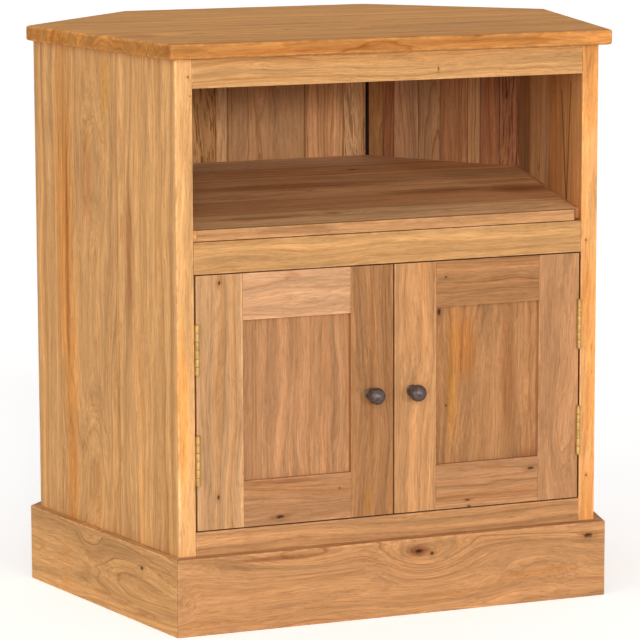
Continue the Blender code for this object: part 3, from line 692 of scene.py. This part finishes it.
def mesh_piece(name, parts, material, body, nodes=()):
    """One object from several closed parts, riding on its body."""
    starts = np.cumsum([0] + [len(part["points"]) for part in parts])
    points = np.concatenate([part["points"] for part in parts])
    faces = [[v + start for v in face] for part, start in zip(parts, starts.tolist())
             for face in part["faces"]]
    mesh = bpy.data.meshes.new(name)
    mesh.from_pydata(points.tolist(), [], faces)
    for key, kind in (("grain", 'FLOAT_VECTOR'), ("tone", 'FLOAT_COLOR'),
                      ("character", 'FLOAT_VECTOR')):
        if all(key in part for part in parts):
            values = np.concatenate([part[key] for part in parts]).astype(np.float32)
            field = "color" if kind == 'FLOAT_COLOR' else "vector"
            mesh.attributes.new(key, kind, 'POINT').data.foreach_set(field, values.ravel())
    mesh.update()
    if all("normals" in part for part in parts):
        normals = np.concatenate([part["normals"] for part in parts])
        mesh.normals_split_custom_set_from_vertices(normals.tolist())
    else:
        mesh.shade_smooth()
        mesh.set_sharp_from_angle(angle=CRISP_ANGLE)
    obj = bpy.data.objects.new(name, mesh)
    bpy.context.scene.collection.objects.link(obj)
    mesh.materials.append(material)
    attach(obj, body)
    if nodes:
        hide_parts(*nodes)
    return obj


def repaint(node, material):
    """Give a CAD piece that stays as it is another material."""
    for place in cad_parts[node].material_slots:
        place.material = material


# Timber


def plan_of(node, shortest):
    """Plan outline of an upright CAD block, its short eased edges carried to the corner."""
    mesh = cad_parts[node].data
    points = np.empty(len(mesh.vertices) * 3, np.float32)
    mesh.vertices.foreach_get("co", points)
    points = np.unique(np.round(points.reshape(-1, 3)[:, :2].astype(float), 6), axis=0)
    hull = points[geometry.convex_hull_2d([tuple(p) for p in points])]
    after = np.roll(hull, -1, axis=0)
    if (hull[:, 0] * after[:, 1] - hull[:, 1] * after[:, 0]).sum() < 0:
        hull = hull[::-1]
    keep = np.linalg.norm(np.roll(hull, -1, axis=0) - hull, axis=1) > shortest
    normal = edge_run(hull)[1]
    level = (normal * hull).sum(axis=1)[keep]
    normal = normal[keep]
    pairs = np.stack([np.roll(normal, 1, axis=0), normal], axis=1)
    levels = np.stack([np.roll(level, 1), level], axis=1)[..., None]
    return np.linalg.solve(pairs, levels)[..., 0]


def clipped(outline, outer, direction, low, high):
    """The part of a convex outline whose distance along a direction is low to high.

    The flags that come back with it say which of its edges are the piece's own.
    """
    for sign, limit in ((1.0, low), (-1.0, -high)):
        depth = sign * outline @ direction - limit
        after = np.roll(depth, -1)
        inside, crossing = depth >= 0, depth * after < 0
        share = np.where(crossing, depth / np.where(crossing, depth - after, 1.0), 0.0)
        cut = outline + share[:, None] * (np.roll(outline, -1, axis=0) - outline)
        keep = np.stack([inside, crossing], axis=1).reshape(-1)
        flags = np.stack([outer, outer & ~inside], axis=1).reshape(-1)
        outline = np.stack([outline, cut], axis=1).reshape(-1, 2)[keep]
        outer = flags[keep]
    return outline, outer


def grained(part, spec, along, across, out, centre, rng):
    """Give a board its place in the tree, its tone and its character.

    grain = (run along the board, distance sideways from the pith, depth from the pith),
    the last two leaning a little as the board runs. Every board starts somewhere else
    along the trunk, up to 20 mm aside, and is up to 3 per cent paler or darker.
    """
    tone, cut, figure, sawn = spec
    side, depth, lean_side, lean_depth = np.array(CUTS[cut]) * rng.uniform(0.75, 1.3, 4)
    signs = rng.choice([-1.0, 1.0], 3)
    away = part["points"] - np.asarray(centre)
    run = away @ np.array(along)
    sideways = away @ np.array(across) + signs[0] * side + signs[1] * lean_side * run
    sideways += rng.uniform(-0.02, 0.02)
    deep = away @ np.array(out) + depth + signs[2] * lean_depth * run
    grain = np.stack([run + rng.uniform(1.0, 9.0), sideways, deep], axis=1)
    shade = 1.0 + rng.uniform(-0.03, 0.03)
    count = len(run)
    # End grain drinks more oil than the long grain and turns darker and redder
    ends = np.abs(part["normals"] @ np.array(along))[:, None] ** 3
    rgb = np.array(getattr(finish(), tone)) * shade * (1.0 - ends * END_LOSS)
    part["grain"] = grain
    part["tone"] = np.concatenate([rgb, np.ones((count, 1))], axis=1)
    part["character"] = np.stack([np.full(count, figure), np.full(count, sawn),
                                  part["wear"]], axis=1)
    return part


def timber_for(node):
    """Knotty teak for a piece with a mark in its box, and clear teak for the rest."""
    low, high = (np.array(corner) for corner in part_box(node))
    patches = tuple(patch for tint, patches in STAINS for patch in patches)
    places = np.array([mark[0] for mark in KNOTS + SHAKES + SWELLS + patches]) * MM
    inside = ((places > low - 2 * MM) & (places < high + 2 * MM)).all(axis=1).any()
    if inside:
        return finished("knotty_teak", knotty_teak)
    return finished("oiled_teak", oiled_teak)


def jointed(name, node, specs, seams=(), run=(1.0, 0.0), along=UP, across=None, out=BACK,
            seed=1, seam=None, high=None, low=None, shortest=3 * MM, **shape):
    """A piece of the carcass, of boards jointed side by side in place of one CAD node.

    specs hold each board's tone, cut, figure and share of torn grain, and seams their
    joints in millimetres along run, from the piece's low end. The outer boards run on
    past both ends, where the outline stops them.
    """
    outline = plan_of(node, shortest)
    lowest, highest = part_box(node)
    low = lowest[2] if low is None else low
    high = highest[2] if high is None else high
    rng = np.random.default_rng(seed)
    run = np.array(run)
    across = across or (*run, 0.0)
    start = (outline @ run).min()
    ends = [start - BEYOND, *(start + np.array(seams) * MM), start + BEYOND]
    half = (sizes().glued_seam if seam is None else seam) / 2
    everywhere = np.ones(len(outline), bool)
    boards = []
    for spec, first, last in zip(specs, ends, ends[1:]):
        part, outer = clipped(outline, everywhere, run, first + half, last - half)
        middle = (*part.mean(axis=0), (low + high) / 2)
        built = board(part, low, high, outer=outer, **shape)
        boards.append(grained(built, spec, along, across, out, middle, rng))
    mesh_piece(name, boards, timber_for(node), "carcass", (node,))


def sloped(node, thick):
    """Heights at the cabinet's front of a piece that climbs with the shelf, and its rise."""
    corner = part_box(node)[0]
    low = corner[2] - SHELF_RISE * (corner[1] - FRONT_Y)
    return {"low": low, "high": low + thick, "rise": SHELF_RISE}


class CABINET_OT_top(bpy.types.Operator):
    """Build the top: a narrow front strip and five boards that run from left to right"""
    bl_idname = "cabinet.top"
    bl_label = "Top"

    def execute(self, context):
        jointed("top_boards", "top_panel",
                (("ginger", "quarter", 1.0, 0.1), ("amber", "rift", 0.9, 0.0),
                 ("amber", "crown", 0.9, 0.0), ("amber", "quarter", 0.9, 0.0),
                 ("amber", "rift", 0.9, 0.0), ("amber", "quarter", 0.9, 0.0)),
                seams=(12, 96, 214, 330, 446), run=(0.0, 1.0), along=RIGHT, out=UP, seed=11,
                ease=sizes().top_round, corner=sizes().top_corner, band=0.8 * MM)
        return {'FINISHED'}


class CABINET_OT_sides(bpy.types.Operator):
    """Build the two side panels of upright boards"""
    bl_idname = "cabinet.sides"
    bl_label = "Sides"

    def execute(self, context):
        jointed("left_side_boards", "left_side_panel",
                (("honey", "rift", 0.5, 0.0), ("honey", "crown", 0.7, 0.0),
                 ("honey", "quarter", 0.5, 0.0)),
                seams=(151, 305), run=LEFT_RUN, out=(-LEFT_RUN[1], LEFT_RUN[0], 0.0), seed=21,
                seam_line=0.3, shortest=6 * MM)
        jointed("right_side_boards", "right_side_panel",
                # The middle board's pale tone is partly painted light, lifting the niche's
                # shade
                (("golden", "rift", 0.7, 0.0), ("cream_with_painted_light", "crown", 1.2, 0.0),
                 ("tan", "quarter", 0.9, 0.0)),
                seams=(184, 297), run=RIGHT_RUN, out=(RIGHT_RUN[1], -RIGHT_RUN[0], 0.0),
                seed=22, seam_line=1.0, shortest=6 * MM)
        return {'FINISHED'}


class CABINET_OT_backs(bpy.types.Operator):
    """Build the rear panel and the two diagonal backs of narrow upright boards"""
    bl_idname = "cabinet.backs"
    bl_label = "Backs"

    def execute(self, context):
        gap = sizes().open_seam
        jointed("rear_back_boards", "rear_back_panel",
                # The palest boards here are partly painted light, lifting the niche's shade
                (("honey", "rift", 1.2, 1.0), ("cream_with_painted_light", "crown", 1.0, 0.3),
                 ("tan", "crown", 1.5, 0.0), ("straw", "rift", 1.5, 0.1),
                 ("cream_with_painted_light", "quarter", 1.2, 0.8)),
                seams=(127, 145, 262, 321), seed=31, seam=gap, seam_line=1.0)
        jointed("right_diagonal_back_boards", "right_diagonal_back_panel",
                (("chestnut", "rift", 1.3, 1.0), ("chestnut", "quarter", 1.5, 0.2),
                 ("tan", "quarter", 1.4, 0.1), ("walnut", "rift", 1.6, 0.0),
                 ("tan", "crown", 1.6, 0.1), ("pale_tan", "rift", 1.4, 0.1),
                 ("chestnut", "quarter", 1.5, 0.1), ("rail", "crown", 1.4, 0.3),
                 # The near-black board is painted shadow, standing in for the shade in the open
                 # joint
                 ("shadow", "rift", 0.5, 0.6), ("straw", "quarter", 0.8, 0.8)),
                seams=(46, 75, 94, 136, 169, 207, 224, 246, 251), run=RIGHT_DIAGONAL_RUN,
                out=(*LEFT_DIAGONAL_RUN, 0.0), seed=32, seam=gap, seam_line=1.0,
                band=0.9 * MM)
        jointed("left_diagonal_back_boards", "left_diagonal_back_panel",
                (("walnut", "rift", 0.9, 0.1), ("tan", "crown", 0.9, 0.0),
                 ("chestnut", "quarter", 0.9, 0.2), ("walnut", "rift", 0.9, 0.0)),
                seams=(58, 120, 178), run=LEFT_DIAGONAL_RUN, out=(*RIGHT_DIAGONAL_RUN, 0.0),
                seed=33, seam=gap, seam_line=1.0)
        return {'FINISHED'}


class CABINET_OT_rails(bpy.types.Operator):
    """Build the three rails across the front"""
    bl_idname = "cabinet.rails"
    bl_label = "Rails"

    def execute(self, context):
        for level, tone, seed in (("upper", "rail", 41), ("middle", "rail", 42),
                                  ("bottom", "fawn", 43)):
            jointed(level + "_rail_board", level + "_front_rail",
                    ((tone, "quarter", 0.6, 0.0),), along=RIGHT, across=UP, seed=seed,
                    ease=0.5 * MM)
        return {'FINISHED'}


class CABINET_OT_plinth(bpy.types.Operator):
    """Build the six mitred plinth boards"""
    bl_idname = "cabinet.plinth"
    bl_label = "Plinth"

    def execute(self, context):
        for name, run, tone, cut, seed in (
                ("front", (1.0, 0.0), "fawn", "crown", 51),
                ("left", LEFT_RUN, "honey", "crown", 52),
                ("right", RIGHT_RUN, "fawn", "rift", 53),
                ("rear", (1.0, 0.0), "fawn", "rift", 54),
                ("left_diagonal", LEFT_DIAGONAL_RUN, "fawn", "crown", 55),
                ("right_diagonal", RIGHT_DIAGONAL_RUN, "fawn", "rift", 56)):
            jointed("plinth_" + name + "_board", "plinth_" + name, ((tone, cut, 0.9, 0.0),),
                    along=(*run, 0.0), across=UP, out=(-run[1], run[0], 0.0), seed=seed)
        return {'FINISHED'}


class CABINET_OT_shelf(bpy.types.Operator):
    """Build the niche shelf, its scribe strips and its cleats"""
    bl_idname = "cabinet.shelf"
    bl_label = "Niche shelf"

    def execute(self, context):
        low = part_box("niche_shelf")[0][2]
        jointed("niche_shelf_boards", "niche_shelf",
                # The palest boards are partly painted light, lifting the shade on the shelf
                (("fawn", "quarter", 0.8, 0.0), ("cream_with_painted_light", "crown", 1.0, 0.0),
                 ("straw", "rift", 1.0, 0.0), ("cream_with_painted_light", "crown", 1.0, 0.0),
                 ("cream_with_painted_light", "quarter", 1.0, 0.0), ("bleached_with_painted_light", "quarter", 0.8, 0.0)),
                seams=(8, 96, 196, 322, 445), run=(0.0, 1.0), along=RIGHT, out=UP, seed=61,
                low=low, high=low + SHELF_T, rise=SHELF_RISE, ease=0.6 * MM, band=1.0 * MM)
        for side, run, seed in (("left", LEFT_RUN, 62), ("right", RIGHT_RUN, 63)):
            node = side + "_shelf_scribe_strip"
            jointed(side + "_scribe_board", node, (("honey", "quarter", 0.5, 0.0),),
                    along=(*run, 0.0), across=UP, seed=seed, ease=0.2 * MM, band=0.6 * MM,
                    **sloped(node, SHELF_T))
        for side, run, seed in (("left", LEFT_RUN, 64), ("right", RIGHT_RUN, 65),
                                ("rear", (1.0, 0.0), 66)):
            node = side + "_shelf_cleat"
            jointed(node + "_board", node, (("sawn", "rift", 0.6, 0.5),), along=(*run, 0.0),
                    across=UP, seed=seed, **sloped(node, CLEAT_H))
        return {'FINISHED'}


class CABINET_OT_floor(bpy.types.Operator):
    """Build the cupboard floor and the remaining cleats"""
    bl_idname = "cabinet.floor"
    bl_label = "Cupboard floor"

    def execute(self, context):
        jointed("cupboard_floor_boards", "cupboard_floor",
                (("walnut", "rift", 0.9, 0.0), ("honey", "crown", 0.9, 0.0),
                 ("walnut", "quarter", 0.9, 0.0), ("walnut", "rift", 0.9, 0.0)),
                seams=(120, 245, 370), run=(0.0, 1.0), along=RIGHT, out=UP, seed=71)
        for name, run, seed in (
                ("left_floor_cleat", LEFT_RUN, 72), ("right_floor_cleat", RIGHT_RUN, 73),
                ("rear_floor_cleat", (1.0, 0.0), 74), ("left_top_cleat", LEFT_RUN, 75),
                ("right_top_cleat", RIGHT_RUN, 76)):
            jointed(name + "_board", name, (("sawn", "rift", 0.6, 0.5),), along=(*run, 0.0),
                    across=UP, seed=seed)
        return {'FINISHED'}


class CABINET_OT_stop(bpy.types.Operator):
    """Finish the door stop block and its magnet"""
    bl_idname = "cabinet.stop"
    bl_label = "Door stop"

    def execute(self, context):
        repaint("door_stop_block", finished("carried_teak", carried_teak))
        repaint("stop_magnet", finished("moulded_ferrite", moulded_ferrite))
        return {'FINISHED'}


class CABINET_OT_doors(bpy.types.Operator):
    """Build both framed doors: grooved stiles, grooved rails and flat panels"""
    bl_idname = "cabinet.doors"
    bl_label = "Doors"

    def execute(self, context):
        stock = {
            "left": {"hinge_stile": ("tan", "quarter", 0.7, 0.0),
                     "lock_stile": ("brown", "quarter", 1.0, 0.2),
                     "top_rail": ("pale_tan", "crown", 1.0, 0.0),
                     "bottom_rail": ("russet", "rift", 0.9, 0.0),
                     "panel": ("russet", "quarter", 0.45, 0.1)},
            "right": {"hinge_stile": ("russet", "crown", 0.6, 0.0),
                      "lock_stile": ("fawn", "rift", 0.6, 0.0),
                      "top_rail": ("brown", "quarter", 0.9, 0.1),
                      "bottom_rail": ("russet", "rift", 0.7, 0.0),
                      "panel": ("brown", "crown", 0.8, 0.0)},
        }
        for side, sign, seed in (("left", -1.0, 81), ("right", 1.0, 86)):
            build_door(side, sign, stock[side], np.random.default_rng(seed))
        return {'FINISHED'}


def build_door(side, sign, stock, rng):
    """One door. A stile's outline is its grooved section in plan, a rail's in side view."""
    low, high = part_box(side + "_door_hinge_stile")
    foot, head = low[2], high[2]
    front, back = low[1], high[1]
    near, far = front + GROOVE_NEAR, front + GROOVE_FAR
    joint = sizes().joint_arris

    def put(part, boards, along, across, middle):
        state = rng.integers(1 << 30)
        for built in boards:
            grained(built, stock[part], along, across, BACK, middle,
                    np.random.default_rng(state))
        node = side + "_door_" + part
        mesh_piece(node + "_board", boards, timber_for(node), side + "_door", (node,))

    spans = {}
    for part, inwards in (("hinge_stile", -sign), ("lock_stile", sign)):
        first, last = (corner[0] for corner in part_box(side + "_door_" + part))
        inner = last if inwards > 0 else first
        outer = first if inwards > 0 else last
        spans[part] = inner
        deep = inner - inwards * GROOVE_D
        outline = np.array([(outer, front), (inner, front), (inner, near), (deep, near),
                            (deep, far), (inner, far), (inner, back), (outer, back)])
        if inwards < 0:
            outline = outline[::-1]
        middle = ((inner + outer) / 2, front, (foot + head) / 2)
        put(part, [board(outline, foot, head, ease=joint, corner=joint, band=0.9 * MM)],
            UP, RIGHT, middle)

    left, right = sorted((spans["hinge_stile"], spans["lock_stile"]))
    left, right = left + FIT, right - FIT
    for part, edge, inwards in (("top_rail", head, -1.0), ("bottom_rail", foot, 1.0)):
        box_low, box_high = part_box(side + "_door_" + part)
        inner = box_low[2] if inwards < 0 else box_high[2]
        deep = inner - inwards * GROOVE_D
        outline = np.array([(front, edge), (front, inner), (near, inner), (near, deep),
                            (far, deep), (far, inner), (back, inner), (back, edge)])
        if inwards > 0:
            outline = outline[::-1]
        boards = [board(outline, left, right, ease=joint, corner=joint, band=0.9 * MM,
                        axes=SIDE_AXES)]
        tongue = GROOVE_D - FIT
        z0, z1 = sorted((edge + inwards * FIT, deep - inwards * FIT))
        for first, last in ((left - tongue, left), (right, right + tongue)):
            block = rectangle((first, near + FIT), (last, far - FIT))
            boards.append(board(block, z0, z1, ease=joint / 3, corner=joint / 3,
                                band=0.9 * MM))
        put(part, boards, RIGHT, UP, ((left + right) / 2, front, (edge + inner) / 2))

    low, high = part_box(side + "_door_panel")
    middle = ((low[0] + high[0]) / 2, low[1], (low[2] + high[2]) / 2)
    put("panel", [board(rectangle(low[:2], high[:2]), low[2], high[2], ease=joint,
                        corner=joint, band=1.0 * MM)], UP, RIGHT, middle)


# Fittings


def knuckle(low, high):
    """A tube with rounded ends, as a closed profile carried round the hinge's axis."""
    r, bore, edge = KNUCKLE_R, KNUCKLE_BORE, sizes().knuckle_edge
    s = np.linspace(0.0, math.pi / 2, 4)
    foot = np.stack([r - edge + edge * np.sin(s), low + edge - edge * np.cos(s)], axis=1)
    head = np.stack([r - edge + edge * np.cos(s), high - edge + edge * np.sin(s)], axis=1)
    profile = np.concatenate([[(bore, low)], foot, head, [(bore, high)]])
    return turned(profile, sides=32, loop=True)


def leaf_boards(side, face, owned):
    """A leaf's plate with cut corners, its fingers and its knuckles, about the axis."""
    near, far = sorted((side * face, side * (face + LEAF_T)))
    half = HINGE_HALF - KNUCKLE_GAP / 2
    plate = rectangle((LEAF_START, -half), (LEAF_REACH, half))
    parts = [board(plate, near, far, ease=0.15 * MM, corner=0.8 * MM, band=0.4 * MM,
                   axes=SIDE_AXES, steps=1)]
    slot = 2 * HINGE_HALF / KNUCKLES
    for k in owned:
        low = HINGE_HALF - (k + 1) * slot + KNUCKLE_GAP / 2
        high = HINGE_HALF - k * slot - KNUCKLE_GAP / 2
        finger = rectangle((FINGER_END, low), (LEAF_START + FINGER_LAP, high))
        parts.append(board(finger, near, far, ease=0.1 * MM, corner=0.1 * MM,
                           band=0.1 * MM, axes=SIDE_AXES, steps=1))
        parts.append(knuckle(low, high))
    return parts


def screw_head():
    """A countersunk head seen from above: a low dome with a cross sunk in it.

    Height is c(1 - (r/R)^2) for the dome, less a depth inside the cross, whose arms are
    |x| < w or |y| < w out to 0.62 R, with sides one grid step wide.
    """
    full, crown, depth = 2.1 * MM, 0.12 * MM, 0.35 * MM
    radius = np.linspace(full, 0.06 * MM, 15)
    profile = [(full, -0.45 * MM)] + [(r, crown * (1 - (r / full) ** 2)) for r in radius]
    head = turned(profile, sides=48)
    x, y = head["points"][:, 0], head["points"][:, 1]
    reach = np.hypot(x, y) < 0.62 * full
    arm = (np.minimum(np.abs(x), np.abs(y)) < 0.3 * MM) & reach
    head["points"][:, 2] -= np.where(arm, depth, 0.0)
    return head


class CABINET_OT_hinges(bpy.types.Operator):
    """Build four butt hinges: leaves with knuckles, pins and countersunk screws"""
    bl_idname = "cabinet.hinges"
    bl_label = "Hinges"

    def execute(self, context):
        brass = finished("lacquered_brass", lacquered_brass)
        odd, even = (0, 2, 4), (1, 3, 5)
        head = screw_head()
        for side, sign in (("left", -1.0), ("right", 1.0)):
            for level in ("upper", "lower"):
                hinge = side + "_" + level
                low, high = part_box(hinge + "_hinge_pin")
                centre = [(a + b) / 2 for a, b in zip(low, high)]
                repaint(hinge + "_hinge_pin", brass)
                for kind, turn, face, body in (
                        ("frame", -sign * FLARE, FRAME_LEAF_FACE, "carcass"),
                        ("door", 0.0, DOOR_LEAF_FACE, side + "_door")):
                    owned = odd if (side == "left") == (kind == "frame") else even
                    stand = Matrix.Translation(centre) @ Matrix.Rotation(turn, 4, 'Z')
                    node = hinge + "_hinge_" + kind + "_leaf"
                    parts = [placed(part, stand) for part in leaf_boards(sign, face, owned)]
                    mesh_piece(hinge + "_" + kind + "_leaf", parts, brass, body, (node,))
                    # A frame screw shows on the leaf's inner face, a door screw on its outer
                    x = sign * (face if kind == "frame" else face + LEAF_T)
                    way = -sign if kind == "frame" else sign
                    up = Matrix.Rotation(way * math.pi / 2, 4, 'Y')
                    heads = []
                    for k in (-1, 0, 1):
                        # No two screws were driven home at the same turn
                        at = Matrix.Translation((x, SCREW_ROW, k * SCREW_STEP))
                        spin = Matrix.Rotation(0.5 + 1.1 * k + centre[2] * 40, 4, 'Z')
                        heads.append(placed(head, stand @ at @ up @ spin))
                    mesh_piece(hinge + "_" + kind + "_screws", heads, brass, body)
        return {'FINISHED'}


def knob_shape():
    """The knob's profile: a lipped foot, a hollow neck and a ball, in radius and height."""
    ball, out, neck, foot = 11.0 * MM, 19.5 * MM, 4.9 * MM, 8.0 * MM
    s = np.linspace(0.0, math.pi / 2, 5)
    lip = np.stack([foot - 1.0 * MM + 1.0 * MM * np.cos(s), 1.2 * MM + 1.0 * MM * np.sin(s)],
                   axis=1)
    u = np.linspace(0.0, 1.0, 9)[1:]
    start = math.asin(neck / ball)
    join = out - ball * math.cos(start)
    hollow = np.stack([neck + (foot - 1.0 * MM - neck) * (1 - u) ** 2.4,
                       2.2 * MM + (join - 2.2 * MM) * u], axis=1)
    angle = np.linspace(start, math.pi - 0.05, 26)[1:]
    sphere = np.stack([ball * np.sin(angle), out - ball * np.cos(angle)], axis=1)
    return np.concatenate([[(foot - 0.3 * MM, 0.0), (foot, 0.3 * MM)], lip, hollow, sphere])


class CABINET_OT_knobs(bpy.types.Operator):
    """Build the two ball knobs and finish their screws and the strike plates"""
    bl_idname = "cabinet.knobs"
    bl_label = "Knobs"

    def execute(self, context):
        bronze = finished("browned_bronze", browned_bronze)
        zinc = finished("zinc_plate", zinc_plate)
        for side in ("left", "right"):
            node = side + "_door_knob"
            low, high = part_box(node)
            centre = [(low[0] + high[0]) / 2, high[1], (low[2] + high[2]) / 2]
            stand = Matrix.Translation(centre) @ Matrix.Rotation(math.pi / 2, 4, 'X')
            mesh_piece(side + "_knob_ball", [placed(turned(knob_shape(), sides=64), stand)],
                       bronze, side + "_door", (node,))
            repaint(side + "_door_knob_screw", zinc)
            repaint(side + "_door_strike_plate", zinc)
        return {'FINISHED'}


# Studio

CAMERA_PLACE = (-1.620406, -4.141655, 1.088556)
CAMERA_YAW = math.radians(21.5465)
CAMERA_PITCH = math.radians(9.3268)
CAMERA_ROLL = 0.0023827             # radians
CAMERA_LENS = 187.0135
CAMERA_SHIFT = (-0.013457, -0.014068)
FLOOR_GLOW = 0.43
FLOOR_HALF = 40.0
AMBIENT_LEVEL = 0.15                # light from the horizon
AMBIENT_ZENITH = 0.65               # light from straight above

# Sun lamps: where each comes from, its strength and its angle in degrees
LAMPS = (
    ("key_lamp", (0.20, -0.96, 0.16), 0.80, 6.0),
    ("second_lamp", (-0.22, -0.97, 0.13), 0.72, 12.0),
    ("high_lamp", (-0.30, -0.88, 0.38), 0.80, 12.0),
    ("low_lamp", (-0.62, -0.78, 0.10), 0.60, 20.0),
    ("side_lamp", (-0.93, -0.36, 0.18), 0.55, 30.0),
)


class CABINET_OT_stage(bpy.types.Operator):
    """Set the floor, the soft lamps, the white surroundings and the camera"""
    bl_idname = "cabinet.stage"
    bl_label = "Stage"

    def execute(self, context):
        scene = context.scene
        scene.view_settings.view_transform = 'Standard'
        mesh = bpy.data.meshes.new("studio_floor")
        square = rectangle((-FLOOR_HALF, -FLOOR_HALF), (FLOOR_HALF, FLOOR_HALF))
        mesh.from_pydata([(x, y, 0.0) for x, y in square.tolist()], [], [(0, 1, 2, 3)])
        floor = bpy.data.objects.new("studio_floor", mesh)
        mesh.materials.append(finished("studio_paper", studio_paper))
        scene.collection.objects.link(floor)

        world = bpy.data.worlds.new("studio")
        world.use_nodes = True
        tree = world.node_tree
        tree.nodes.clear()
        way = add(tree, "TexCoord")
        height = add(tree, "SeparateXYZ", (way,), out=2)
        glow = add(tree, "MapRange", (height, 0.0, 1.0, AMBIENT_LEVEL, AMBIENT_ZENITH))
        soft = add(tree, "Background", ((1.0, 1.0, 1.0, 1.0), glow))
        white = add(tree, "Background", ((1.0, 1.0, 1.0, 1.0), 1.0))
        both = add(tree, "MixShader", (seen_directly(tree), soft, white))
        add(tree, "OutputWorld", (both,))
        scene.world = world

        for name, source, strength, angle in LAMPS:
            lamp = bpy.data.lights.new(name, 'SUN')
            lamp.energy = strength
            lamp.angle = math.radians(angle)
            obj = bpy.data.objects.new(name, lamp)
            obj.rotation_mode = 'QUATERNION'
            obj.rotation_quaternion = Vector(source).to_track_quat('Z', 'Y')
            scene.collection.objects.link(obj)

        lens = bpy.data.cameras.new("camera")
        lens.lens = CAMERA_LENS
        lens.shift_x, lens.shift_y = CAMERA_SHIFT
        lens.clip_end = 200.0
        camera = bpy.data.objects.new("camera", lens)
        camera.matrix_world = (Matrix.Translation(CAMERA_PLACE)
                               @ Matrix.Rotation(-CAMERA_YAW, 4, 'Z')
                               @ Matrix.Rotation(math.pi / 2 - CAMERA_PITCH, 4, 'X')
                               @ Matrix.Rotation(-CAMERA_ROLL, 4, 'Z'))
        scene.collection.objects.link(camera)
        scene.camera = camera
        return {'FINISHED'}


OPERATORS = (
    CABINET_OT_stage, CABINET_OT_top, CABINET_OT_sides, CABINET_OT_backs, CABINET_OT_rails,
    CABINET_OT_plinth, CABINET_OT_shelf, CABINET_OT_floor, CABINET_OT_stop, CABINET_OT_doors,
    CABINET_OT_hinges, CABINET_OT_knobs,
)


class CABINET_PT_build(bpy.types.Panel):
    """Lists the cabinet's pieces, sizes and colours"""
    bl_label = "Corner cabinet"
    bl_idname = "CABINET_PT_build"
    bl_space_type = 'VIEW_3D'
    bl_region_type = 'UI'
    bl_category = "Cabinet"

    def draw(self, context):
        for operator in OPERATORS:
            self.layout.operator(operator.bl_idname)
        for group in (context.scene.cabinet_sizes, context.scene.cabinet_finish):
            for key in group.__annotations__:
                self.layout.prop(group, key)


CLASSES = (CabinetFinish, CabinetSizes, *OPERATORS, CABINET_PT_build)


def register():
    for item in CLASSES:
        bpy.utils.register_class(item)
    bpy.types.Scene.cabinet_finish = PointerProperty(type=CabinetFinish)
    bpy.types.Scene.cabinet_sizes = PointerProperty(type=CabinetSizes)


def unregister():
    del bpy.types.Scene.cabinet_sizes
    del bpy.types.Scene.cabinet_finish
    for item in reversed(CLASSES):
        bpy.utils.unregister_class(item)


def main():
    register()
    for operator in OPERATORS:
        group, name = operator.bl_idname.split(".")
        getattr(getattr(bpy.ops, group), name)()


if __name__ == "__main__":
    main()
